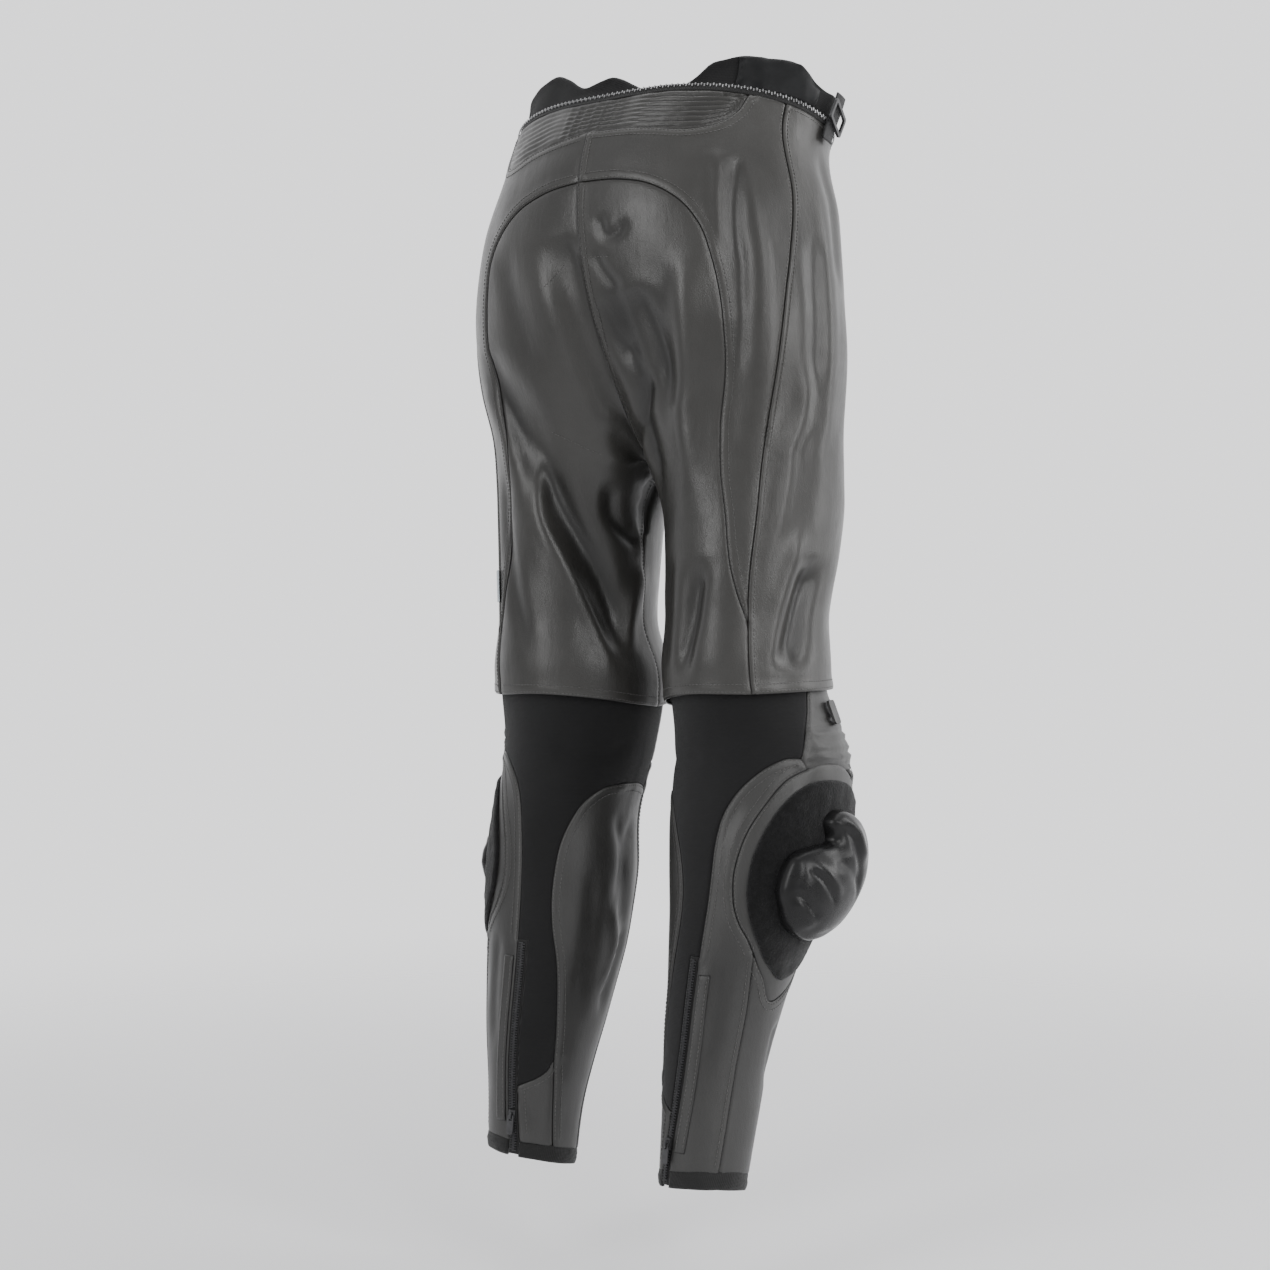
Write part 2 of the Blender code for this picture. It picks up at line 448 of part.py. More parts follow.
def panel(name, side, outline, key, wall, part=None, lift=0.0, marks=(), step=STEP, seam_row=True):
    """Fills an outline on the surface. outline: lists of (points, gap) run end to end.
    marks are closed lines drawn on the panel, so that what is sewn on shares its points."""
    loop, gaps = [], []
    for pts, g in outline:
        loop.append(pts[:-1])
        gaps += [g] * (len(pts) - 1)
    loop, gaps = np.vstack(loop), np.array(gaps, float)
    edge = shrink(side, loop, gaps, part)
    row = shrink(side, edge, np.full(len(edge), INSET), part)
    middle = (edge[:, 0].min() + edge[:, 0].max()) / 2
    f_edge = flat(side, edge[:, 0], edge[:, 1], middle)
    pts, links = [tuple(v) for v in f_edge], []
    n = len(edge)
    links += [(i, (i + 1) % n) for i in range(n)]
    uv = [tuple(v) for v in edge]
    f_row = flat(side, row[:, 0], row[:, 1], middle)
    keep = inside(f_edge, f_row) & (distance(f_edge, f_row) > INSET * 0.40) & seam_row
    loops = []
    taken = [f_edge]
    for m in marks:
        fm = flat(side, m[:, 0], m[:, 1], middle)
        loops.append(fm)
        start = len(pts)
        pts += [tuple(v) for v in fm]
        uv += [tuple(v) for v in m]
        links += [(start + i, start + (i + 1) % len(m)) for i in range(len(m))]
        taken.append(fm)
        keep &= distance(fm, f_row) > 0.0022
    pts += [tuple(v) for v in f_row[keep]]
    uv += [tuple(v) for v in row[keep]]
    low, high = f_edge.min(0), f_edge.max(0)
    us, ds = edge[:, 0], edge[:, 1]
    grid, guv = [], []
    rise = step * 0.88
    count = int((high[1] - low[1]) / rise) + 2
    for k in range(count):
        d = low[1] + rise * (k + 0.5)
        w = float(np.interp(d, *GIRTH[side]))
        across = int((us.max() - us.min()) * w / step) + 2
        for j in range(-1, across + 1):
            u = us.min() + (j + (0.5 if k % 2 else 0.0)) * step / w
            grid.append(((u - middle) * w, d))
            guv.append((u, d))
    grid, guv = np.array(grid), np.array(guv)
    ok = inside(f_edge, grid) & (distance(f_edge, grid) > step * 0.42)
    for fm in loops:
        ok &= distance(fm, grid) > step * 0.30
    pts += [tuple(v) for v in grid[ok]]
    uv += [tuple(v) for v in guv[ok]]
    result = delaunay_2d_cdt([Vector(p) for p in pts], links, [], 0, 1e-7)
    out_pts = np.array([tuple(v) for v in result[0]])
    orig = result[3]
    uv_out = np.zeros((len(out_pts), 2))
    for i, o in enumerate(orig):
        if len(o):
            uv_out[i] = uv[o[0]]
        else:
            d = out_pts[i, 1]
            uv_out[i] = (middle + out_pts[i, 0] / float(np.interp(d, *GIRTH[side])), d)
    faces = np.array([f for f in result[2] if len(f) == 3])
    centre = out_pts[faces].mean(1)
    faces = faces[inside(f_edge, centre)]
    centre = out_pts[faces].mean(1)
    used = np.unique(faces)
    remap = -np.ones(len(out_pts), int)
    remap[used] = np.arange(len(used))
    faces, uv_out, out_pts = remap[faces], uv_out[used], out_pts[used]
    verts = point(side, uv_out[:, 0], uv_out[:, 1], 0, part)
    _, _, normal, turned = slopes(side, uv_out[:, 0], uv_out[:, 1], part)
    verts = verts + normal * (lift - wall / 2)
    # the flat triangles run anticlockwise, so turned says which way they face
    if turned < 0:
        faces = faces[:, ::-1]
    add_object(name, verts, faces, key, wall, 0.0)
    verts = verts + normal * (wall / 2)
    tags = [inside(fm, centre) for fm in loops]
    return {"side": side, "uv": uv_out, "flat": out_pts, "verts": verts, "normal": normal,
            "faces": faces, "tags": tags, "loops": loops}


def sewn_on(name, base, which, key, lift, wall, height=None):
    """A piece that lies on a panel: the panel's own points inside a mark, moved out."""
    faces = base["faces"][base["tags"][which]]
    used = np.unique(faces)
    remap = -np.ones(len(base["verts"]), int)
    remap[used] = np.arange(len(used))
    verts = base["verts"][used] + base["normal"][used] * lift
    weights = None
    if height is not None:
        d = distance(base["loops"][which], base["flat"][used])
        weights = height(d)
    return add_object(name, verts, remap[faces], key, wall, 1.0, weights)


def loop_trace(side, rows, step, part=None):
    return trace(side, rows, step, part, closed=True)[:-1]


def waist_drop(side, u):
    """Drop of the seam between leather and waistband; it dips to the front."""
    u = np.asarray(u, float)
    d = WAIST_MEAN - WAIST_SLOPE * np.cos(math.pi * (1 - u))
    x = SIGN[side] * 0.162 * np.sin(math.pi * u)
    return d - WAIST_ROLL * x + WAIST_SAG * np.exp(-((1 - u) / 0.11)**2)


def waist_rows(side, u0, u1, n):
    us = np.linspace(u0, u1, n)
    return tuple(zip(us, waist_drop(side, us)))


def back(pts):
    return pts[::-1]


def moved(pts, du):
    q = pts.copy()
    q[:, 0] += du
    return q


def build_side(side):
    """All panels of one side."""
    g = SEAM_HALF
    line = {}
    th = "thigh"

    def make(key, rows, part=None):
        line[key] = trace(side, rows, CUFF_STEP if key.startswith("cuff") else EDGE_STEP, part)

    make("w_front", waist_rows(side, 0.0, SIDE_TOP_U, 9))
    make("w_back", waist_rows(side, SIDE_TOP_U, SHIRR_END_U, 3))
    make("w_shirr", waist_rows(side, SHIRR_END_U, 1.0, 13))
    make("side_high", ((SIDE_TOP_U, float(waist_drop(side, SIDE_TOP_U))),) + SIDE_SEAM + (SIDE_JOIN,))
    make("side_low", (SIDE_JOIN, SIDE_HEM))
    make("arc", SEAT_ARC)
    make("shirr", ((SHIRR_END_U, float(waist_drop(side, SHIRR_END_U))),) + SHIRR_LOW)
    make("cb_high", ((1.0, 0.052), (1.0, 0.100)))
    make("cb_low", ((1.0, 0.100), (1.0, CROTCH)))
    make("inseam", ((1.0, CROTCH), (1.0, 0.5610)))
    make("cf", ((0.0, float(waist_drop(side, 0.0))), (0.0, CROTCH)))
    make("hem_back", HEM_BACK)
    make("hem_front", HEM_FRONT)
    names = {"stretch_front": STRETCH_FRONT, "stretch_top": STRETCH_TOP, "knee_top": KNEE_TOP,
             "frame_top": FRAME_TOP, "frame_rear": FRAME_REAR,
             "frame_front": (A3,) + knee_round(side, FRAME_FRONT[1:-1]) + (A1,),
             "knee_low": KNEE_LOW, "knee_out": KNEE_OUT, "calf_arc": CALF_ARC,
             "zip_top": ZIP_TOP, "zip_out": ZIP_OUT, "zip_in_high": ZIP_IN_HIGH,
             "zip_in_low": ZIP_IN_LOW, "patch_top": PATCH_TOP, "inner_top": INNER_TOP,
             "inner_rear": INNER_REAR, "inner_low": INNER_LOW, "dart": DART,
             "front_high": FRONT_HIGH, "front_mid": FRONT_MID, "front_low": FRONT_LOW,
             "cuff_front": CUFF_FRONT, "cuff_out": CUFF_OUT, "cuff_rear": CUFF_REAR,
             "cuff_in": CUFF_IN}
    for key, rows in names.items():
        make(key, rows)

    marks = []
    if side == "L":   # fly placket on the left front
        w = 0.036 / 0.46
        marks = [loop_trace(side, ((0.024, 0.052), (w * 0.6, 0.050), (w, 0.052), (w, 0.110), (w, 0.165),
                                   (w * 0.75, 0.186), (0.036, 0.196), (0.024, 0.188), (0.024, 0.120)), 0.022)]
    front = panel("front_" + side, side, [
        (line["w_front"], g), (line["side_high"], g), (line["side_low"], g), (line["hem_front"], g),
        (back(moved(line["inseam"], -1.0)), g), (back(line["cf"]), 0.0)],
        "leather", LEATHER, th, marks=marks)
    if side == "L":
        sewn_on("fly_placket", front, 0, "leather", 0.0003, 0.0016)
    panel("back_outer_" + side, side, [
        (line["w_back"], g), (line["shirr"], g), (line["cb_high"], 0.0), (line["arc"], g),
        (back(line["side_high"]), g)], "leather", LEATHER, th)
    panel("seat_" + side, side, [
        (line["cb_low"], 0.0), (line["inseam"], g), (line["hem_back"], g),
        (back(line["side_low"]), g), (back(line["arc"]), g)], "leather", LEATHER, th)
    panel("stretch_calf_" + side, side, [
        (line["stretch_top"], g), (moved(line["front_high"], 1.0), g), (moved(line["front_mid"], 1.0), g),
        (line["inner_top"], g), (line["inner_rear"], g), (back(line["patch_top"]), g),
        (back(line["zip_in_high"]), g), (back(line["zip_top"]), g), (back(line["calf_arc"]), g),
        (back(line["stretch_front"]), g)], "stretch", STRETCH)
    panel("knee_accordion_" + side, side, [
        (line["knee_top"], g), (line["stretch_front"], g), (back(line["knee_out"]), g),
        (line["frame_top"], g), (line["knee_low"], g), (back(line["front_high"]), g)],
        "shin_leather", LEATHER)
    patch = loop_trace(side, knee_round(side, KNEE_PATCH), 0.021)
    pad = loop_trace(side, tuple((u - KNEE_CARRY[side], d) for u, d in KNEE_PAD), 0.014)
    cup = panel("knee_cup_" + side, side, [
        (back(line["frame_top"]), g), (line["frame_rear"], g), (line["frame_front"], g)],
        "shin_leather", LEATHER, marks=[patch, pad], step=0.022)
    cup["tags"][0] = cup["tags"][0] | cup["tags"][1]
    sewn_on("knee_patch_" + side, cup, 0, "loop", 0.0003, PATCH_WALL)
    full = PAD_EDGE + PAD_CROWN

    def dome(d):
        t = np.clip(d / 0.026, 0, 1)
        return (PAD_EDGE + PAD_CROWN * np.sqrt(1 - (1 - t)**2)) / full

    sewn_on("knee_slider_" + side, cup, 1, "pad", 0.0003 + PATCH_WALL + 0.0004, full, dome)
    band = PLACKET_WIDTH
    zo = line["zip_out"]
    w_at = np.interp(zo[:, 1], *GIRTH[side])
    outer = np.stack([zo[:, 0] - 0.0030 / w_at, zo[:, 1]], -1)[1:-1]
    inner = np.stack([zo[:, 0] - (0.0030 + band) / w_at, zo[:, 1]], -1)[1:-1]
    placket = np.vstack([outer, inner[::-1]])
    shin = panel("shin_outer_" + side, side, [
        (line["knee_out"], g), (line["calf_arc"], g), (line["zip_out"], g), (back(line["cuff_out"]), g),
        (back(line["dart"]), g), (back(line["frame_rear"]), g)], "shin_leather", LEATHER, marks=[placket])
    sewn_on("zip_placket_" + side, shin, 0, "shin_leather", 0.0003, 0.0012)
    panel("shin_front_" + side, side, [
        (back(line["knee_low"]), g), (back(line["frame_front"]), g), (line["dart"], g),
        (back(line["cuff_front"]), g), (back(line["front_low"]), g), (back(line["front_mid"]), g)],
        "shin_leather", LEATHER)
    panel("inner_calf_" + side, side, [
        (moved(line["front_low"], 1.0), g), (back(line["cuff_in"]), g), (back(line["inner_low"]), g),
        (back(line["inner_rear"]), g), (back(line["inner_top"]), g)], "shin_leather", LEATHER)
    panel("lower_back_patch_" + side, side, [
        (line["patch_top"], g), (line["inner_low"], g), (back(line["cuff_rear"]), g),
        (back(line["zip_in_low"]), g)], "shin_leather", LEATHER)
    # calf zip tape, down through the slit of the cuff
    low_out, low_in = line["zip_out"][-1], line["zip_in_low"][-1]
    end_out = np.array([low_out, low_out + (0.002, CUFF_HEIGHT - 0.002)])
    end_in = np.array([low_in + (0.002, CUFF_HEIGHT - 0.002), low_in])
    panel("calf_zip_" + side, side, [
        (line["zip_top"], g), (line["zip_in_high"], g), (line["zip_in_low"], g),
        (back(end_in), g), (np.array([end_in[0], end_out[1]]), g), (back(end_out), g),
        (back(line["zip_out"]), g)], "zip", 0.0012, seam_row=False)
    # cuff binding, open at the zip
    top = [line["cuff_rear"], line["cuff_in"], moved(line["cuff_front"], 1.0), moved(line["cuff_out"], 1.0)]
    low = [p + (0.0, CUFF_HEIGHT) for p in top]
    first, last = top[0][0], top[-1][-1]
    outline = [(p, g) for p in top]
    outline.append((np.array([last, last + (0.0, CUFF_HEIGHT)]), 0.0011))
    outline += [(back(p), g) for p in reversed(low)]
    outline.append((np.array([first + (0.0, CUFF_HEIGHT), first]), 0.0011))
    panel("cuff_" + side, side, outline, "band", CUFF_WALL, lift=0.0002, seam_row=False)
    return line


def frame_at(side, u, drop, lift=0.0):
    """A local frame on the surface: x across, y down the leg, z out."""
    uu, dd = np.array([u]), np.array([drop])
    du, _, n, _ = slopes(side, uu, dd, None)
    p = point(side, uu, dd, 0, None)[0]
    z = n[0]
    down = point(side, uu + 0.0, dd + 0.01, 0, None)[0] - p
    y = down - z * (down @ z)
    y /= np.linalg.norm(y)
    x = np.cross(y, z)
    m = Matrix(((x[0], y[0], z[0], 0), (x[1], y[1], z[1], 0), (x[2], y[2], z[2], 0), (0, 0, 0, 1)))
    m.translation = Vector(p + z * lift)
    return m


def outline_solid(name, loops, half, key, matrix):
    """A flat outline (with its holes) as a plate, made a mesh."""
    c = bpy.data.curves.new(name, "CURVE")
    c.dimensions = "2D"
    c.fill_mode = "BOTH"
    c.extrude = half
    for pts in loops:
        s = c.splines.new("POLY")
        s.points.add(len(pts) - 1)
        for i, p in enumerate(pts):
            s.points[i].co = (p[0], p[1], 0, 1)
        s.use_cyclic_u = True
    tmp = bpy.data.objects.new(name + "_outline", c)
    COLLECTION.objects.link(tmp)
    bpy.context.view_layer.update()
    mesh = bpy.data.meshes.new_from_object(tmp.evaluated_get(bpy.context.evaluated_depsgraph_get()))
    bpy.data.objects.remove(tmp, do_unlink=True)
    bm = bmesh.new()
    bm.from_mesh(mesh)
    bmesh.ops.remove_doubles(bm, verts=bm.verts, dist=1e-6)
    bmesh.ops.triangulate(bm, faces=bm.faces)
    bmesh.ops.transform(bm, matrix=matrix, verts=bm.verts)
    bmesh.ops.recalc_face_normals(bm, faces=bm.faces)
    bm.to_mesh(mesh)
    bm.free()
    mesh.name = name
    mesh.materials.clear()
    mesh.materials.append(material(key, name))
    o = bpy.data.objects.new(name, mesh)
    COLLECTION.objects.link(o)
    return o


def round_rect(w, h, r, cx=0.0, cy=0.0, n=3):
    pts = []
    for k, (sx, sy) in enumerate(((1, 1), (-1, 1), (-1, -1), (1, -1))):
        for i in range(n + 1):
            a = math.pi / 2 * (k + i / n)
            pts.append((cx + sx * (w / 2 - r) + r * math.cos(a), cy + sy * (h / 2 - r) + r * math.sin(a)))
    return pts


ZIP_DROP = 0.928


def zip_pull_frame(side):
    """Where the calf zip's slider sits, and the hinge line of its pull tab."""
    zo, zi = np.array(ZIP_OUT), np.array(ZIP_IN_HIGH + ZIP_IN_LOW[1:])
    u = (np.interp(ZIP_DROP, zo[:, 1], zo[:, 0]) + np.interp(ZIP_DROP, zi[:, 1], zi[:, 0])) / 2
    return frame_at(side, u, ZIP_DROP, 0.0003)


def build_zip(side):
    m = zip_pull_frame(side)
    body_h, width, length = 0.0024, 0.0062, 0.0095
    bm = bmesh.new()
    bmesh.ops.create_cube(bm, size=1.0, matrix=Matrix.Translation((0, 0, body_h / 2))
                          @ Matrix.Diagonal((width, length, body_h, 1)))
    mesh = bpy.data.meshes.new("calf_zip_slider_" + side)
    bm.to_mesh(mesh)
    bm.free()
    mesh.transform(m)
    mesh.materials.append(material("metal", "calf_zip_slider_" + side))
    o = bpy.data.objects.new("calf_zip_slider_" + side, mesh)
    COLLECTION.objects.link(o)
    # bridge over the tab's bar: an arch cut from a plate across the slider
    arch = [(-0.0032, -0.0006), (0.0032, -0.0006), (0.0032, 0.0021), (0.0022, 0.0029),
            (-0.0022, 0.0029), (-0.0032, 0.0021)]
    hole = [(-0.0020, 0.0002), (0.0020, 0.0002), (0.0020, 0.0020), (-0.0020, 0.0020)]
    turn = Matrix(((0, 0, 1, 0), (1, 0, 0, 0), (0, 1, 0, 0), (0, 0, 0, 1)))
    place = m @ Matrix.Translation((0, 0, body_h)) @ turn
    bridge = outline_solid("bridge_" + side, [arch, hole], 0.0008, "metal", place)
    bridge.hide_render = True
    bridge.display_type = "WIRE"
    b = o.modifiers.new("bridge", "BOOLEAN")
    b.operation = "UNION"
    b.object = bridge
    # pull tab with a window; its top bar lies under the bridge
    top = -0.00045
    plate = [(-0.0026, top), (0.0026, top), (0.0032, 0.0040), (0.0032, 0.0150), (0.0022, 0.0170),
             (-0.0022, 0.0170), (-0.0032, 0.0150), (-0.0032, 0.0040)]
    window = [(-0.0013, top + 0.0009), (0.0013, top + 0.0009), (0.0013, 0.0046), (-0.0013, 0.0046)]
    z_bar = body_h + 0.0011
    pull = outline_solid("calf_zip_pull_" + side, [plate, window], 0.00040, "metal",
                         m @ Matrix.Translation((0, 0, z_bar)))
    origin = (m @ Matrix.Translation((0, 0, z_bar))).translation
    pull.data.transform(Matrix.Translation(-origin))
    pull.location = origin


def build_waist(lines):
    g = SEAM_HALF
    mirror = lambda p: np.stack([2.0 - p[:, 0], p[:, 1]], -1)
    # shirred stretch-leather panel at the back
    r, l = lines["R"], lines["L"]
    panel("shirred_back", "RL", [
        (r["w_shirr"], g), (back(mirror(l["w_shirr"])), g), (mirror(l["shirr"]), g),
        (back(r["shirr"]), g)], "leather", LEATHER, "ring", step=0.026)
    # waist seam all round, front opening at the centre front
    us = np.linspace(0.0, 2.0, 161)
    ds = np.where(us <= 1, waist_drop("R", np.minimum(us, 1)), waist_drop("L", 2 - np.maximum(us, 1)))
    seam = lambda u: np.interp(u, us, ds)
    ends = (0.012, 1.988)

    def ring(name, low, high, key, wall, lift, u0, u1, marks=(), step=0.034, edge=0.027):
        n = max(3, int((u1 - u0) * 0.46 / edge))
        u = np.linspace(u0, u1, n + 1)
        a = np.stack([u, seam(u) - high(u)], -1)
        b = np.stack([u, seam(u) - low(u)], -1)
        k = max(1, int(round(float(np.mean(high(u) - low(u))) / 0.016)))
        e1 = np.linspace(a[-1], b[-1], k + 1)
        e0 = np.linspace(b[0], a[0], k + 1)
        return panel(name, "RL", [(a, g), (e1, g), (back(b), g), (e0, g)], key, wall, "ring",
                     lift=lift, marks=marks, step=step, seam_row=False)

    flatline = lambda v: (lambda u: np.full_like(u, v))
    ring("waist_zip_tape", flatline(0.0006), flatline(ZIP_TAPE_RISE), "zip", 0.0012, 0.0, *ends)
    top = np.array(BAND_TOP)
    rise = lambda u: smooth(top[:, 0], top[:, 1], u)
    flap = FLAP
    loop = np.array([(u, float(seam(u)) - h) for u, h in flap])
    band = ring("waistband_inner", flatline(-0.014), rise, "band", BAND, -BAND_INSET, 0.020, 1.980,
                marks=[loop], step=0.030, edge=0.022)
    sewn_on("adjuster_flap", band, 0, "satin", 0.0003, 0.0012)
    # adjuster strap hanging over the waist seam on the right, with its slide buckle
    u_mid, half_w = 0.455, 0.0115 / 0.46
    us4 = np.linspace(u_mid - half_w, u_mid + half_w, 3)
    d_top, d_low = float(seam(u_mid)) - 0.032, float(seam(u_mid)) + 0.014
    col = np.linspace(d_top, d_low, 5)
    strap = [(np.stack([us4, np.full(3, d_top)], -1), g), (np.stack([np.full(5, us4[-1]), col], -1), g),
             (np.stack([us4[::-1], np.full(3, d_low)], -1), g), (np.stack([np.full(5, us4[0]), col[::-1]], -1), g)]
    panel("adjuster_strap", "RL", strap, "band", 0.0014, "ring", lift=0.0048, seam_row=False)
    m = frame_at("R", u_mid, float(seam(u_mid)) - 0.010, 0.0062)
    outline_solid("adjuster_buckle", [round_rect(0.032, 0.021, 0.003), round_rect(0.0255, 0.0145, 0.0015)],
                  0.0012, "metal", m @ Matrix.Translation((0, 0, 0.0012)))
    # snap of the front closure, on the fly placket
    m = frame_at("L", 0.042, 0.075, 0.0003 + 0.0016 + 0.0009)
    bm = bmesh.new()
    bmesh.ops.create_cone(bm, cap_ends=True, segments=20, radius1=0.0078, radius2=0.0064, depth=0.0026,
                          matrix=m @ Matrix.Translation((0, 0, 0.0013)))
    mesh = bpy.data.meshes.new("fly_snap")
    bm.to_mesh(mesh)
    bm.free()
    mesh.materials.append(material("metal", "fly_snap"))
    COLLECTION.objects.link(bpy.data.objects.new("fly_snap", mesh))
    # small blank loop label standing out of the left side seam
    a, b = frame_at("L", 0.646, 0.432, 0.0008), frame_at("L", 0.646, 0.462, 0.0008)
    m = frame_at("L", 0.6475, 0.447, 0.0)
    outline_solid("side_label", [round_rect(0.0060, 0.0300, 0.0005, 0, 0, 1)], 0.0005, "label",
                  m @ Matrix.Translation((0.0, 0.0, 0.0024)))
    # small folded tab below the front of the thigh hem, on both knees
    for side in "RL":
        m = frame_at(side, 0.455, 0.566, 0.0) @ Matrix.Translation((0, 0, 0.0046))
        outline_solid("knee_tab_" + side, [round_rect(0.016, 0.022, 0.003)], 0.0012, "shin_leather", m)


LINES = {side: build_side(side) for side in ("R", "L")}
build_waist(LINES)
for _side in ("R", "L"):
    build_zip(_side)
bpy.context.view_layer.update()
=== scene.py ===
"""Looks of the leather motorcycle trousers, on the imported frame."""
import bpy
import bmesh
import json
import math
import numpy as np
from mathutils import Vector, Matrix, noise
from mathutils.geometry import delaunay_2d_cdt


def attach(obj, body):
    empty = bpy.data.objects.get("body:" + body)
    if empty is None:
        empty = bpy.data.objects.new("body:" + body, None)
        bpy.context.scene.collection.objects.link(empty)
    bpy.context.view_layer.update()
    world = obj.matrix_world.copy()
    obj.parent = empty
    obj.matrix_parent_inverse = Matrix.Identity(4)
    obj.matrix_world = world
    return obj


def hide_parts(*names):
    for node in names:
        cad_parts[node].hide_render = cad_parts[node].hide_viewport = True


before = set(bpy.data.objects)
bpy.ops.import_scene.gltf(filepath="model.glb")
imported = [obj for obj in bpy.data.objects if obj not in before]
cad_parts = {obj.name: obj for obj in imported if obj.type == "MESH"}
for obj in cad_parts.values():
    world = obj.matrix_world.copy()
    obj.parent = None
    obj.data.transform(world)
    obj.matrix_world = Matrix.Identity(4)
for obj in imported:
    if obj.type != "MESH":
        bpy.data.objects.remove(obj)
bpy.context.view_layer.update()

FINE = 0.0042       # spacing of the cloth's points
ROWS = (0.0009, 0.0022, 0.0040, 0.0065)  # rows of points beside each seam
BODY = "trousers"
ZIP_DROP = 0.928                         # where the calf zip's slider sits

# ---------------------------------------------------------------- sizes (metres)
LEATHER = 0.0014          # wall of the leather panels
STRETCH = 0.0012          # wall of the stretch panels
BAND = 0.0020             # wall of the inner waistband
SEAM_HALF = 0.00016       # half the gap between two panels at a seam
INSET = 0.0030            # row of points just inside every edge, as a seam allowance
STEP = 0.040              # spacing of the points inside a panel
EDGE_STEP = 0.029         # spacing of the points along a seam
CUFF_STEP = 0.017         # and round the narrow ankle
HEM_FLARE = 0.0062        # the thigh hem stands off the stretch tube by this
HEM_DROP = 0.549          # thigh hem below the waist, at the back of the leg
HEM_FLARE_REACH = 0.075
ZIP_TAPE_RISE = 0.007     # waist zip tape above the leather's top edge
BAND_INSET = 0.0048       # the inner waistband lies this far inside the leather
CUFF_HEIGHT = 0.0155
CUFF_WALL = 0.0024
PATCH_WALL = 0.0030       # hook-and-loop patch on the knee
PAD_EDGE = 0.0050         # knee pad, thickness at its rim
PAD_CROWN = 0.0150        # and at its crown, more
PLACKET_WIDTH = 0.0105

# Half sections of the body from the waist to the crotch, both sides alike.
# drop, x_out, x_in, y_mid, depth_front, depth_back, squareness
TORSO = (
    (-0.045, 0.162, -0.162, -0.006, 0.115, 0.110, 2.15),
    (0.000, 0.166, -0.162, 0.003, 0.117, 0.112, 2.15),
    (0.060, 0.162, -0.155, 0.028, 0.123, 0.119, 2.15),
    (0.120, 0.177, -0.138, 0.037, 0.125, 0.122, 2.15),
    (0.190, 0.187, -0.094, 0.045, 0.118, 0.106, 2.10),
    (0.260, 0.187, -0.040, 0.039, 0.108, 0.092, 2.05),
    (0.310, 0.179, -0.012, 0.031, 0.099, 0.086, 2.00),
    (0.350, 0.177, 0.008, 0.026, 0.093, 0.086, 2.00),
)
# Sections of each leg below the crotch.
# drop, x_out, x_in, y_mid, depth_front, depth_back, squareness, turn (degrees)
LEG_RIGHT = (
    (0.380, 0.176, 0.017, 0.024, 0.091, 0.087, 2.0, 0.0),
    (0.420, 0.172, 0.023, 0.026, 0.087, 0.087, 2.0, 0.0),
    (0.480, 0.164, 0.025, 0.030, 0.081, 0.083, 2.0, 0.0),
    (0.540, 0.160, 0.028, 0.030, 0.078, 0.076, 2.0, 0.0),
    (0.600, 0.173, 0.027, 0.027, 0.082, 0.069, 2.0, 0.0),
    (0.660, 0.172, 0.027, 0.036, 0.082, 0.067, 2.0, 0.0),
    (0.720, 0.170, 0.032, 0.043, 0.078, 0.067, 2.0, 0.0),
    (0.780, 0.151, 0.040, 0.056, 0.065, 0.061, 2.0, 0.0),
    (0.850, 0.137, 0.047, 0.072, 0.051, 0.055, 2.0, 0.0),
    (0.920, 0.131, 0.052, 0.086, 0.041, 0.049, 2.0, 2.0),
    (1.000, 0.124, 0.055, 0.100, 0.034, 0.042, 2.0, 5.0),
)
LEG_LEFT = (
    (0.380, 0.174, 0.020, 0.026, 0.089, 0.086, 2.0, 0.0),
    (0.420, 0.172, 0.025, 0.026, 0.087, 0.086, 2.0, 2.0),
    (0.480, 0.169, 0.027, 0.029, 0.084, 0.083, 2.0, 6.0),
    (0.540, 0.171, 0.019, 0.028, 0.084, 0.079, 2.0, 9.0),
    (0.600, 0.168, 0.028, 0.031, 0.076, 0.067, 2.0, 9.0),
    (0.660, 0.169, 0.038, 0.043, 0.072, 0.065, 2.0, 9.0),
    (0.720, 0.172, 0.034, 0.049, 0.072, 0.068, 2.0, 9.0),
    (0.780, 0.165, 0.037, 0.057, 0.067, 0.068, 2.0, 9.0),
    (0.850, 0.154, 0.046, 0.072, 0.055, 0.061, 2.0, 8.0),
    (0.920, 0.143, 0.057, 0.086, 0.041, 0.050, 2.0, 2.0),
    (1.000, 0.141, 0.061, 0.094, 0.033, 0.043, 2.0, -4.0),
)
# Knee cup, a soft swelling on the outer front: u, reach in u, drop, reach, height
KNEE = (0.30, 0.16, 0.66, 0.075, 0.022)
# How far round the half section the cloth runs each way from the outer side, in
# degrees: half way round at the waist, all round once the legs have parted.
OPENING = (
    (-0.045, 90.0), (0.060, 91.3), (0.120, 97.0), (0.190, 109.3), (0.260, 130.0),
    (0.310, 146.5), (0.350, 159.0), (0.400, 172.0), (0.450, 180.0), (0.453, 180.0),
    (0.500, 180.0), (1.000, 180.0),
)
# Largest folds: soft troughs (negative depth) and ridges between two ends.
# side, u_top, drop_top, u_low, drop_low, width, depth
FOLDS = (
    ("L", 0.962, 0.145, 0.986, 0.300, 0.020, -0.011),
    ("L", 0.754, 0.230, 0.925, 0.510, 0.024, -0.009),
    ("L", 0.701, 0.260, 0.865, 0.500, 0.020, 0.004),
    ("R", 0.905, 0.200, 0.850, 0.300, 0.022, -0.006),
    ("R", 0.806, 0.170, 0.787, 0.400, 0.018, 0.004),
    ("R", 0.742, 0.090, 0.727, 0.230, 0.018, -0.004),
    ("R", 0.515, 0.430, 0.575, 0.530, 0.018, -0.006),
    ("R", 0.749, 0.430, 0.790, 0.540, 0.016, -0.005),
)

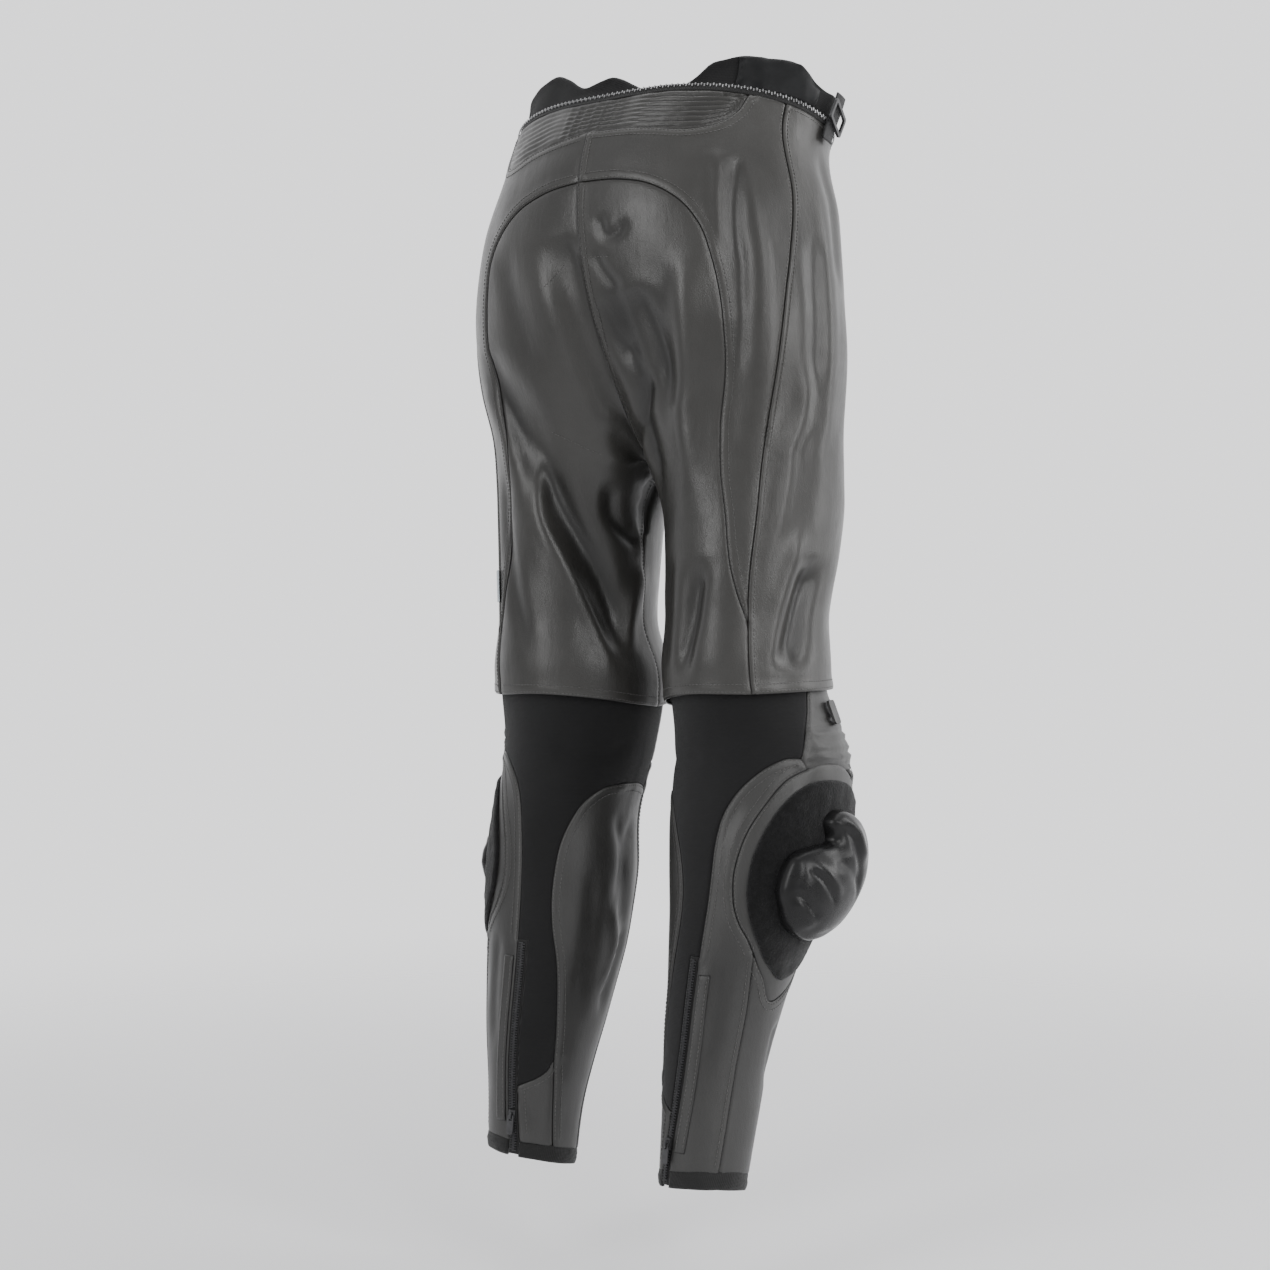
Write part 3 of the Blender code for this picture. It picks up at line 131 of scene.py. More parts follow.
# ------------------------------------------------- seams, rows of (u, drop)
WAIST_MEAN, WAIST_SLOPE, WAIST_ROLL, WAIST_SAG = 0.029, 0.014, 0.060, 0.0045
SIDE_SEAM = ((0.592, 0.070), (0.588, 0.130), (0.605, 0.175), (0.620, 0.210),
             (0.634, 0.250), (0.643, 0.295), (0.656, 0.370), (0.652, 0.420))
SIDE_TOP_U, SIDE_JOIN, SIDE_HEM = 0.608, (0.646, 0.488), (0.646, 0.5495)
SEAT_ARC = ((1.000, 0.100), (0.920, 0.104), (0.866, 0.111), (0.835, 0.119),
            (0.802, 0.132), (0.776, 0.150), (0.758, 0.177), (0.744, 0.208),
            (0.736, 0.245), (0.731, 0.280), (0.733, 0.325), (0.729, 0.360),
            (0.709, 0.400), (0.686, 0.440), (0.666, 0.466), SIDE_JOIN)
SHIRR_END_U = 0.690
SHIRR_LOW = ((0.696, 0.028), (0.708, 0.044), (0.732, 0.055), (0.775, 0.061),
             (0.810, 0.062), (0.870, 0.058), (1.0, 0.052))
HEM_BACK = ((1.0, 0.5610), (0.930, 0.5580), (0.870, 0.5540), (0.770, 0.5495), SIDE_HEM)
HEM_FRONT = (SIDE_HEM, (0.500, 0.5460), (0.300, 0.5440), (0.120, 0.5540), (0.0, 0.5610))
# knee and shin
A1, A2, A3 = (0.430, 0.6160), (0.560, 0.6135), (0.610, 0.7700)
B1 = (0.5725, 0.6040)
TOP_OUT = (0.505, 0.5300)
STRETCH_FRONT = (TOP_OUT, (0.530, 0.5620), (0.552, 0.5800), B1)
STRETCH_TOP = (TOP_OUT, (0.750, 0.5330), (1.000, 0.5450), (1.070, 0.5440))
KNEE_TOP = ((0.070, 0.5440), (0.300, 0.5300), TOP_OUT)
FRAME_TOP = (A2, (0.530, 0.6105), (0.500, 0.6095), (0.465, 0.6110), A1)
FRAME_REAR = (A2, (0.600, 0.6220), (0.642, 0.6460), (0.675, 0.6740), (0.690, 0.6980),
              (0.689, 0.7200), (0.667, 0.7420), (0.633, 0.7580), A3)
FRAME_FRONT = (A3, (0.568, 0.7900), (0.510, 0.8120), (0.450, 0.8040), (0.390, 0.7820),
               (0.340, 0.7450), (0.318, 0.7050), (0.325, 0.6650), (0.370, 0.6330), A1)
KNEE_LOW = (A1, (0.300, 0.6180), (0.180, 0.6140), (0.070, 0.6140))
KNEE_OUT = (A2, B1)
CALF_ARC = (B1, (0.600, 0.6035), (0.630, 0.6080), (0.667, 0.6190), (0.698, 0.6340),
            (0.718, 0.6510), (0.731, 0.6740), (0.738, 0.7020), (0.741, 0.7320), (0.741, 0.7720))
ZIP_TOP = ((0.741, 0.7720), (0.766, 0.7720))
ZIP_OUT = ((0.741, 0.7720), (0.741, 0.8120), (0.741, 0.8480), (0.748, 0.8860),
           (0.760, 0.9160), (0.775, 0.9490))
ZIP_IN_HIGH = ((0.766, 0.7720), (0.768, 0.8120), (0.770, 0.8480), (0.785, 0.9020))
ZIP_IN_LOW = ((0.785, 0.9020), (0.797, 0.9260), (0.813, 0.9500))
PATCH_TOP = ((0.785, 0.9020), (0.815, 0.8985), (0.845, 0.8945), (0.868, 0.8890), (0.880, 0.8800))
INNER_TOP = ((1.070, 0.6380), (1.020, 0.6330), (0.963, 0.6320))
INNER_REAR = ((0.963, 0.6320), (0.905, 0.6360), (0.868, 0.6480), (0.843, 0.6660),
              (0.824, 0.6860), (0.814, 0.7080), (0.811, 0.7320), (0.818, 0.7600),
              (0.836, 0.7900), (0.858, 0.8360), (0.880, 0.8800))
INNER_LOW = ((0.880, 0.8800), (0.903, 0.9080), (0.930, 0.9565))
DART = (A3, (0.590, 0.8200), (0.587, 0.8700), (0.590, 0.9490))
FRONT_HIGH = ((0.070, 0.5440), (0.070, 0.6140))
FRONT_MID = ((0.070, 0.6140), (0.070, 0.6380))
FRONT_LOW = ((0.070, 0.6380), (0.072, 0.7800), (0.070, 0.9645))
CUFF_FRONT = ((0.070, 0.9645), (0.180, 0.9670), (0.300, 0.9645), (0.430, 0.9570), (0.590, 0.9490))
CUFF_OUT = ((0.590, 0.9490), (0.680, 0.9475), (0.775, 0.9490))
CUFF_REAR = ((0.813, 0.9500), (0.870, 0.9525), (0.930, 0.9565))
CUFF_IN = ((0.930, 0.9565), (1.000, 0.9610), (1.070, 0.9645))
# how far the knee pad sits further round towards the front, in u
KNEE_CARRY = {"R": 0.0, "L": 0.100}
# closed outlines that lie on a panel
KNEE_PATCH = ((0.500, 0.6230), (0.557, 0.6260), (0.600, 0.6400), (0.635, 0.6640),
              (0.658, 0.6890), (0.664, 0.7120), (0.650, 0.7360), (0.612, 0.7600),
              (0.560, 0.7820), (0.500, 0.7940), (0.440, 0.7860), (0.388, 0.7640),
              (0.350, 0.7300), (0.345, 0.6920), (0.370, 0.6540), (0.430, 0.6300))
KNEE_PAD = ((0.452, 0.6530), (0.492, 0.6490), (0.513, 0.6560), (0.505, 0.6750),
            (0.540, 0.6780), (0.590, 0.6860), (0.609, 0.7080), (0.596, 0.7300),
            (0.555, 0.7500), (0.505, 0.7560), (0.440, 0.7480), (0.385, 0.7200), (0.392, 0.6840))
# inner waistband, height of its wavy top above the waist seam: u all round, rise
BAND_TOP = ((0.030, 0.035), (0.250, 0.037), (0.430, 0.0350), (0.500, 0.0310), (0.545, 0.0335),
            (0.575, 0.0400), (0.600, 0.0430), (0.640, 0.0438), (0.685, 0.0414), (0.745, 0.0395),
            (0.775, 0.0350), (0.805, 0.0292), (0.825, 0.0192), (0.845, 0.0115), (0.870, 0.0066),
            (0.917, 0.0086), (0.948, 0.0164), (0.975, 0.0241), (1.000, 0.0285), (1.025, 0.0266),
            (1.060, 0.0228), (1.110, 0.0342), (1.157, 0.0427), (1.200, 0.0425), (1.350, 0.0400),
            (1.600, 0.0390), (1.970, 0.0350))

# satin flap on the waistband: (u, rise) of its outline
FLAP = ((0.517, 0.0090), (0.600, 0.0090), (0.680, 0.0090), (0.742, 0.0090), (0.744, 0.0230),
        (0.746, 0.0370), (0.690, 0.0395), (0.640, 0.0415), (0.600, 0.0404), (0.570, 0.0355),
        (0.540, 0.0285), (0.517, 0.0260), (0.517, 0.0170))



def smooth(xs, ys, x):
    """Cubic pieces through (xs, ys), with slopes weighted from the chords."""
    h = np.diff(xs)
    chord = np.diff(ys) / h
    m = np.empty(len(xs))
    m[0], m[-1] = chord[0], chord[-1]
    m[1:-1] = (chord[:-1] * h[1:] + chord[1:] * h[:-1]) / (h[1:] + h[:-1])
    i = np.clip(np.searchsorted(xs, x) - 1, 0, len(xs) - 2)
    t = np.clip((x - xs[i]) / h[i], -0.5, 1.5)
    return ((2 * t**3 - 3 * t**2 + 1) * ys[i] + (t**3 - 2 * t**2 + t) * h[i] * m[i]
            + (-2 * t**3 + 3 * t**2) * ys[i + 1] + (t**3 - t**2) * h[i] * m[i + 1])


SECTIONS = {
    "R": np.array([r + (0.0,) for r in TORSO] + list(LEG_RIGHT), float),
    "L": np.array([r + (0.0,) for r in TORSO] + list(LEG_LEFT), float),
}
WRAP = np.array(OPENING)
SIGN = {"R": -1.0, "L": 1.0}


def crotch_drop():
    """Drop at which the two half sections close into separate legs."""
    table = SECTIONS["R"]
    low, high = 0.30, 0.35
    for _ in range(40):
        mid = (low + high) / 2
        if smooth(table[:, 0], table[:, 2], np.array([mid]))[0] < 0:
            low = mid
        else:
            high = mid
    return round((low + high) / 2, 5)


CROTCH = crotch_drop()


def knee_round(side, rows):
    """Carries the front part of the knee panel's lines further round on the left."""
    return tuple((u - KNEE_CARRY[side] * min(1.0, max(0.0, (0.60 - u) / 0.20)), d) for u, d in rows)


def hem_drop(u):
    """Drop of the thigh hem all round the leg."""
    rows = sorted(set(HEM_BACK + HEM_FRONT))
    us, ds = np.array([r[0] for r in rows]), np.array([r[1] for r in rows])
    return smooth(us, ds, np.mod(u, 1.0001))


def surface(side, u, drop, lift=0.0, part=None, halves=True):
    """Points of the trousers' outer surface, lifted along the section's normal.
    halves keeps each side on its own half, clear of the centre seam."""
    u, drop = np.asarray(u, float), np.asarray(drop, float)
    table = SECTIONS[side]
    x_out, x_in, y_mid, front, back, square, turn = (
        smooth(table[:, 0], table[:, c], drop) for c in range(1, 8))
    half, mid = (x_out - x_in) / 2, (x_out + x_in) / 2
    reach = np.arccos(-np.clip(mid / half, -1, 1))
    opening = np.radians(smooth(WRAP[:, 0], WRAP[:, 1], drop))
    v = 2 * u - 1
    # a leg's turn fades out towards the centre seams at and above the crotch
    below = np.clip((drop - CROTCH) / 0.06, 0, 1)
    below = below * below * (3 - 2 * below)
    turned = (reach / math.pi) * (1 - np.clip(np.abs(v), 0, 1)**8 * (1 - below))
    phi = v * opening + (reach - opening) * v**7 + np.radians(turn) * turned
    c, s = np.cos(phi), np.sin(phi)
    depth = np.where(s > 0, back, front)
    # outward direction of the section in plan
    nx, ny = depth * c, half * s
    size = np.hypot(nx, ny) + 1e-9
    nx, ny = nx / size, ny / size
    out = np.zeros_like(u * drop) + lift
    w = np.mod(u, 1.0) if np.all(drop > CROTCH) else u
    out = out + KNEE[4] * np.exp(-((w - KNEE[0]) / KNEE[1])**2 - ((drop - KNEE[2]) / KNEE[3])**2)
    for f_side, u0, d0, u1, d1, width, deep in FOLDS:
        if f_side != side:
            continue
        t = (drop - d0) / (d1 - d0)
        along = np.clip(1 - (2 * t - 1)**4, 0, 1) * ((t > 0) & (t < 1))
        across = (u - (u0 + (u1 - u0) * t)) * 0.48
        hold = 1 - np.clip(np.abs(v), 0, 1)**16 * (1 - below)   # none on the centre seam
        out = out + deep * along * hold * np.exp(-(across / width)**2)
    if part == "thigh":
        t = np.clip((drop - (HEM_DROP - HEM_FLARE_REACH)) / (HEM_FLARE_REACH * 0.72), 0, 1)
        out = out + HEM_FLARE * t * t * (3 - 2 * t)
    x = mid + half * c + out * nx
    y = y_mid + depth * np.sign(s) * np.abs(s)**(2 / square) + out * ny
    if halves and part != "ring":
        x = np.maximum(x, SEAM_HALF)
    return np.stack([SIGN[side] * x, y, -drop + 0 * u], -1)


def point(side, u, drop, lift=0.0, part=None, halves=True):
    """As surface(), but side "RL" runs u 0..2 all round: right side, back, left side."""
    if side != "RL":
        return surface(side, u, drop, lift, part, halves)
    u, drop = np.asarray(u, float), np.asarray(drop, float)
    right = surface("R", np.minimum(u, 1.0), drop, lift, "ring")
    left = surface("L", np.minimum(2.0 - u, 1.0), drop, lift, "ring")
    return np.where((u <= 1.0)[..., None], right, left)


def slopes(side, u, drop, part):
    """The surface's two tangents and its outward unit normal."""
    e = 1e-4
    sign_fix = np.where(np.abs(drop - CROTCH) < 2e-4, 3e-4, 0.0)
    d = drop + sign_fix
    du = (point(side, u + e, d, 0, part, False) - point(side, u - e, d, 0, part, False)) / (2 * e)
    dd = (point(side, u, d + e, 0, part, False) - point(side, u, d - e, 0, part, False)) / (2 * e)
    n = np.cross(du, dd)
    n /= np.linalg.norm(n, axis=-1, keepdims=True) + 1e-12
    where = "R" if side == "RL" else side
    table = SECTIONS[where]
    mid_x = (smooth(table[:, 0], table[:, 1], drop) + smooth(table[:, 0], table[:, 2], drop)) / 2
    mid_y = smooth(table[:, 0], table[:, 3], drop)
    axis_x = 0 * mid_x if side == "RL" else SIGN[where] * np.maximum(mid_x, 0.02)
    p = point(side, u, drop, 0, part)
    flip = np.sign(n[:, 0] * (p[:, 0] - axis_x) + n[:, 1] * (p[:, 1] - mid_y))
    flip[flip == 0] = 1
    turned = 1.0 if np.median(flip) > 0 else -1.0
    return du, dd, n * turned, turned


def girth(side):
    """Drop against the length round one half (or one leg)."""
    drops = np.linspace(-0.05, 1.0, 106)
    us = np.linspace(0, 1, 61)
    out = []
    for d in drops:
        p = surface("R" if side == "RL" else side, us, np.full_like(us, d), 0, "ring")
        out.append(np.linalg.norm(np.diff(p, axis=0), axis=1).sum())
    return drops, np.array(out)


GIRTH = {s: girth(s) for s in ("R", "L", "RL")}


def flat(side, u, drop, middle=0.0):
    """Unrolls (u, drop) into metres from a middle line, so that triangles come out even."""
    return np.stack([(u - middle) * np.interp(drop, *GIRTH[side]), drop], -1)


def trace(side, rows, step=EDGE_STEP, part=None, closed=False):
    """A smooth line through rows of (u, drop), as points about step apart."""
    rows = np.array(rows, float)
    if closed:
        rows = np.vstack([rows, rows[:1]])
    pts = flat(side, rows[:, 0], rows[:, 1])
    t = np.concatenate([[0], np.cumsum(np.linalg.norm(np.diff(pts, axis=0), axis=1))])
    fine = np.linspace(0, t[-1], 240)
    if len(rows) == 2:
        u, d = np.interp(fine, t, rows[:, 0]), np.interp(fine, t, rows[:, 1])
    elif closed:
        k = len(rows) - 1
        tt = np.concatenate([t[k - 3:k] - t[-1], t, t[-1] + t[1:4]])
        uu = np.concatenate([rows[k - 3:k, 0], rows[:, 0], rows[1:4, 0]])
        vv = np.concatenate([rows[k - 3:k, 1], rows[:, 1], rows[1:4, 1]])
        u, d = smooth(tt, uu, fine), smooth(tt, vv, fine)
    else:
        u, d = smooth(t, rows[:, 0], fine), smooth(t, rows[:, 1], fine)
    p = point(side, u, d, 0, part)
    run = np.concatenate([[0], np.cumsum(np.linalg.norm(np.diff(p, axis=0), axis=1))])
    n = max(1, int(round(run[-1] / step)))
    at = np.linspace(0, run[-1], n + 1)
    return np.stack([np.interp(at, run, u), np.interp(at, run, d)], -1)


def inside(poly, pts):
    """Which points lie in a closed polygon."""
    x, y = pts[:, 0][:, None], pts[:, 1][:, None]
    a, b = poly, np.roll(poly, -1, axis=0)
    cross = ((a[:, 1] > y) != (b[:, 1] > y)) & (
        x < (b[:, 0] - a[:, 0]) * (y - a[:, 1]) / (b[:, 1] - a[:, 1] + 1e-15) + a[:, 0])
    return cross.sum(1) % 2 == 1


def distance(poly, pts):
    """Distance of points from a closed polygon's edges."""
    a, b = poly, np.roll(poly, -1, axis=0)
    ab = b - a
    t = np.clip(((pts[:, None] - a) * ab).sum(-1) / ((ab**2).sum(-1) + 1e-15), 0, 1)
    return np.linalg.norm(pts[:, None] - (a + t[..., None] * ab), axis=-1).min(1)




def waist_drop(side, u):
    """Drop of the seam between leather and waistband; it dips to the front."""
    u = np.asarray(u, float)
    d = WAIST_MEAN - WAIST_SLOPE * np.cos(math.pi * (1 - u))
    x = SIGN[side] * 0.162 * np.sin(math.pi * u)
    return d - WAIST_ROLL * x + WAIST_SAG * np.exp(-((1 - u) / 0.11)**2)


def waist_rows(side, u0, u1, n):
    us = np.linspace(u0, u1, n)
    return tuple(zip(us, waist_drop(side, us)))


def back(pts):
    return pts[::-1]


def moved(pts, du):
    q = pts.copy()
    q[:, 0] += du
    return q



# ------------------------------------------------------------------ camera
THETA = math.radians(35.5)
PITCH = math.radians(1.81)
AHEAD = Vector((math.sin(THETA), -math.cos(THETA), 0.0))
RIGHT = Vector((-math.cos(THETA), -math.sin(THETA), 0.0))
cam_data = bpy.data.cameras.new("camera")
cam_data.sensor_width = 36.0
cam_data.lens = 49.32
cam_data.shift_x = -0.015
cam_data.clip_start = 0.05
camera = bpy.data.objects.new("camera", cam_data)
bpy.context.scene.collection.objects.link(camera)
look = AHEAD * math.cos(PITCH) + Vector((0, 0, 1)) * math.sin(PITCH)
up = RIGHT.cross(look)
eye = -1.64 * AHEAD - 0.0245 * RIGHT + Vector((0, 0, -0.545))
camera.matrix_world = Matrix(((RIGHT.x, up.x, -look.x, eye.x), (RIGHT.y, up.y, -look.y, eye.y),
                              (RIGHT.z, up.z, -look.z, eye.z), (0, 0, 0, 1)))
bpy.context.scene.camera = camera

# short sewn lines on the seat: side, points of (u, drop)
SEWN = (
    ("R", ((0.994, 0.1660), (0.938, 0.1700))),
    ("L", ((0.960, 0.1673), (0.910, 0.1902))),
    ("L", ((0.843, 0.3087), (0.927, 0.3302))),
)

# ------------------------------------------------------------- folds
# side, points of (u, drop) along the crease, half width and depth in metres
CREASES = (
    ("L", ((0.965, 0.135), (0.985, 0.165), (1.000, 0.205), (1.000, 0.250), (0.987, 0.310)), 0.0085, -0.0050),
    ("L", ((0.900, 0.150), (0.930, 0.200), (0.946, 0.260), (0.947, 0.320), (0.924, 0.380)), 0.0180, 0.0045),
    ("L", ((0.759, 0.212), (0.744, 0.266), (0.763, 0.304), (0.819, 0.352), (0.869, 0.398), (0.908, 0.444), (0.925, 0.498), (0.922, 0.546)), 0.0125, -0.0050),
    ("L", ((0.747, 0.300), (0.800, 0.336), (0.803, 0.386), (0.838, 0.436), (0.885, 0.500), (0.893, 0.546)), 0.0080, 0.0034),
    ("L", ((0.996, 0.424), (0.963, 0.480), (0.922, 0.518)), 0.0085, 0.0036),
    ("L", ((0.944, 0.300), (0.985, 0.350), (0.992, 0.400)), 0.0100, -0.0035),
    ("L", ((0.930, 0.350), (0.943, 0.390), (0.979, 0.405), (1.010, 0.395)), 0.0075, -0.0040),
    ("L", ((0.710, 0.330), (0.705, 0.420), (0.740, 0.520)), 0.0110, -0.0026),
    ("L", ((0.820, 0.140), (0.844, 0.200), (0.851, 0.270)), 0.0150, -0.0022),
    ("R", ((0.962, 0.175), (0.945, 0.205), (0.915, 0.289), (0.892, 0.341), (0.905, 0.400)), 0.0140, -0.0056),
    ("R", ((0.680, 0.080), (0.660, 0.170), (0.668, 0.260), (0.672, 0.370)), 0.0160, 0.0036),
    ("R", ((0.500, 0.070), (0.505, 0.180), (0.510, 0.300), (0.520, 0.400)), 0.0150, 0.0026),
    ("R", ((0.960, 0.130), (0.940, 0.152), (0.925, 0.152), (0.905, 0.136)), 0.0055, -0.0030),
    ("R", ((0.975, 0.160), (0.950, 0.185), (0.920, 0.200)), 0.0060, -0.0024),
    ("R", ((0.985, 0.200), (0.955, 0.240), (0.916, 0.262)), 0.0080, -0.0038),
    ("R", ((0.900, 0.192), (0.868, 0.240), (0.846, 0.290)), 0.0095, -0.0040),
    ("R", ((0.973, 0.330), (0.924, 0.300), (0.881, 0.262)), 0.0090, -0.0046),
    ("R", ((0.965, 0.260), (0.932, 0.280), (0.927, 0.330), (0.893, 0.400)), 0.0120, 0.0030),
    ("R", ((0.806, 0.172), (0.806, 0.238), (0.802, 0.312), (0.790, 0.380)), 0.0110, 0.0024),
    ("R", ((0.851, 0.160), (0.842, 0.240), (0.836, 0.320)), 0.0130, -0.0020),
    ("R", ((0.705, 0.150), (0.707, 0.220), (0.712, 0.290)), 0.0075, -0.0024),
    ("R", ((0.700, 0.085), (0.712, 0.140), (0.722, 0.190)), 0.0075, -0.0026),
    ("R", ((0.735, 0.080), (0.742, 0.130), (0.735, 0.180)), 0.0080, 0.0022),
    ("R", ((0.515, 0.432), (0.530, 0.458), (0.545, 0.490), (0.575, 0.530)), 0.0095, -0.0046),
    ("R", ((0.563, 0.400), (0.575, 0.450), (0.600, 0.510), (0.610, 0.540)), 0.0080, 0.0028),
    ("R", ((0.568, 0.250), (0.577, 0.310), (0.609, 0.374), (0.626, 0.440)), 0.0110, 0.0028),
    ("R", ((0.540, 0.150), (0.545, 0.220), (0.556, 0.300)), 0.0120, -0.0028),
    ("R", ((0.748, 0.434), (0.765, 0.484), (0.790, 0.536)), 0.0085, -0.0036),
    ("R", ((0.847, 0.420), (0.850, 0.480), (0.850, 0.540)), 0.0130, -0.0024),
    ("R", ((0.470, 0.060), (0.455, 0.130), (0.470, 0.200)), 0.0110, -0.0024),
    ("L", ((0.600, 0.090), (0.585, 0.170), (0.590, 0.250)), 0.0110, -0.0022),
    ("L", ((0.520, 0.300), (0.543, 0.380), (0.590, 0.470)), 0.0100, -0.0030),
    ("L", ((0.449, 0.430), (0.470, 0.480), (0.520, 0.530)), 0.0080, -0.0032),
    ("L", ((0.060, 0.205), (0.130, 0.232), (0.230, 0.240), (0.330, 0.232)), 0.0140, -0.0030),
    ("R", ((0.055, 0.215), (0.120, 0.243), (0.215, 0.252), (0.320, 0.246)), 0.0140, -0.0028),
    ("L", ((0.040, 0.262), (0.090, 0.296), (0.170, 0.318), (0.260, 0.322)), 0.0130, -0.0030),
    ("R", ((0.038, 0.266), (0.085, 0.304), (0.160, 0.330), (0.250, 0.338)), 0.0130, -0.0030),
    ("L", ((0.300, 0.100), (0.320, 0.180), (0.309, 0.260)), 0.0130, -0.0022),
    ("R", ((0.320, 0.110), (0.335, 0.180), (0.319, 0.270)), 0.0130, -0.0022),
    ("L", ((0.291, 0.400), (0.290, 0.460), (0.310, 0.530)), 0.0110, -0.0028),
    ("R", ((0.256, 0.390), (0.280, 0.450), (0.270, 0.530)), 0.0110, -0.0028),
    ("L", ((0.107, 0.400), (0.150, 0.460), (0.140, 0.540)), 0.0110, -0.0030),
    ("R", ((0.103, 0.390), (0.140, 0.450), (0.150, 0.540)), 0.0110, -0.0030),
    ("L", ((0.960, 0.655), (0.985, 0.700), (0.965, 0.750)), 0.0070, -0.0022),
    ("L", ((1.020, 0.660), (1.000, 0.720), (1.010, 0.780)), 0.0080, -0.0034),
    ("L", ((0.955, 0.740), (0.985, 0.780), (0.975, 0.830)), 0.0060, 0.0024),
    ("L", ((1.030, 0.760), (1.000, 0.800), (0.990, 0.850)), 0.0060, -0.0030),
    ("L", ((0.900, 0.700), (0.905, 0.780), (0.925, 0.860)), 0.0090, -0.0016),
    ("R", ((1.020, 0.660), (1.000, 0.720), (1.010, 0.780)), 0.0080, -0.0034),
    ("R", ((1.030, 0.760), (1.000, 0.800), (0.990, 0.850)), 0.0060, -0.0028),
    ("L", ((0.770, 0.905), (0.830, 0.925), (0.860, 0.945)), 0.0060, -0.0010),
    ("R", ((0.655, 0.640), (0.700, 0.680), (0.712, 0.730)), 0.0060, 0.0012),
    ("R", ((0.680, 0.760), (0.670, 0.820), (0.680, 0.880)), 0.0070, -0.0016),
    ("L", ((0.680, 0.760), (0.672, 0.820), (0.680, 0.880)), 0.0070, -0.0016),
    ("R", ((0.450, 0.830), (0.420, 0.870), (0.380, 0.890)), 0.0070, -0.0026),
    ("L", ((0.450, 0.830), (0.420, 0.870), (0.380, 0.890)), 0.0070, -0.0026),
    ("R", ((0.200, 0.640), (0.240, 0.700), (0.240, 0.770)), 0.0090, -0.0026),
    ("L", ((0.200, 0.640), (0.240, 0.700), (0.240, 0.770)), 0.0090, -0.0026),
    ("R", ((0.760, 0.600), (0.860, 0.612), (0.960, 0.600)), 0.0070, -0.0012),
    ("L", ((0.760, 0.596), (0.860, 0.606), (0.960, 0.598)), 0.0070, -0.0012),
)
# (rest of the profile of each kind of seam, in millimetres across the edge)
PROFILES = {
    "top": lambda x: -0.75 * np.exp(-(x / 0.9)**2) + 0.75 * np.exp(-((x - 4.2) / 3.4)**2)
    - 0.30 * np.exp(-((x - 1.9) / 0.55)**2) - 0.28 * np.exp(-((x - 7.6) / 0.6)**2),
    "under": lambda x: -1.10 * np.exp(-(x / 1.5)**2) - 0.15 * np.exp(-(x / 5.0)**2),
    "welt": lambda x: -0.90 * np.exp(-(x / 0.7)**2) + 0.95 * np.exp(-((x - 2.4) / 1.5)**2),
    "hem": lambda x: -0.70 * np.exp(-(x / 0.8)**2) + 0.65 * np.exp(-((x - 4.5) / 4.0)**2)
    - 0.30 * np.exp(-((x - 9.0) / 0.7)**2) - 0.25 * np.exp(-((x - 2.2) / 0.6)**2),
    "plain": lambda x: -0.30 * np.exp(-(x / 0.8)**2),
    "lap": lambda x: -0.20 * np.exp(-(x / 0.8)**2),
    "none": lambda x: 0.0 * x,
}


def shrink(side, loop, gaps, part):
    """Moves a closed loop of (u, drop) inwards, each edge by its own gap."""
    f = flat(side, loop[:, 0], loop[:, 1])
    area = 0.5 * np.sum(f[:, 0] * np.roll(f[:, 1], -1) - np.roll(f[:, 0], -1) * f[:, 1])
    turn = 1.0 if area > 0 else -1.0
    du, dd, _, _ = slopes(side, loop[:, 0], loop[:, 1], part)
    p = point(side, loop[:, 0], loop[:, 1], 0, part)
    nxt = np.roll(p, -1, axis=0) - p
    prv = np.roll(nxt, 1, axis=0)
    raw = np.cross(du, dd)
    raw /= np.linalg.norm(raw, axis=1, keepdims=True) + 1e-12
    n1, n2 = np.cross(raw, prv) * turn, np.cross(raw, nxt) * turn
    n1 /= np.linalg.norm(n1, axis=1, keepdims=True) + 1e-12
    n2 /= np.linalg.norm(n2, axis=1, keepdims=True) + 1e-12
    g1, g2 = np.roll(gaps, 1), np.asarray(gaps, float)
    dot = (n1 * n2).sum(1)
    det = 1.03**2 - dot**2
    k1, k2 = (1.03 * g1 - dot * g2) / det, (1.03 * g2 - dot * g1) / det
    corner = k1[:, None] * n1 + k2[:, None] * n2
    plain = (n1 + n2) / 2 * ((g1 + g2) / 2)[:, None]
    move = np.where((dot > 0.9)[:, None], plain, corner)
    a, b, c = (du * du).sum(1), (du * dd).sum(1), (dd * dd).sum(1)
    r1, r2 = (du * move).sum(1), (dd * move).sum(1)
    dt = a * c - b * b + 1e-15
    out = loop.copy()
    out[:, 0] += np.clip((c * r1 - b * r2) / dt, -0.03, 0.03)
    out[:, 1] += np.clip((a * r2 - b * r1) / dt, -0.03, 0.03)
    return out


def line_distance(line, pts):
    """Distance of points from an open line."""
    a, b = line[:-1], line[1:]
    ab = b - a
    out = np.full(len(pts), 1e9)
    for i in range(0, len(pts), 4000):
        q = pts[i:i + 4000, None] - a
        t = np.clip((q * ab).sum(-1) / ((ab**2).sum(-1) + 1e-15), 0, 1)
        out[i:i + 4000] = np.linalg.norm(q - t[..., None] * ab, axis=-1).min(1)
    return out


def along(line, pts):
    """Distance of points from an open line, and how far along it (0 to 1) they are."""
    a, b = line[:-1], line[1:]
    ab = b - a
    size = np.linalg.norm(ab, axis=1)
    run = np.concatenate([[0], np.cumsum(size)])
    q = pts[:, None] - a
    t = np.clip((q * ab).sum(-1) / ((ab**2).sum(-1) + 1e-15), 0, 1)
    d = np.linalg.norm(q - t[..., None] * ab, axis=-1)
    k = d.argmin(1)
    i = np.arange(len(pts))
    return d[i, k], (run[k] + t[i, k] * size[k]) / run[-1]


def ease(a, b, x):
    t = np.clip((x - a) / (b - a), 0, 1)
    return t * t * (3 - 2 * t)


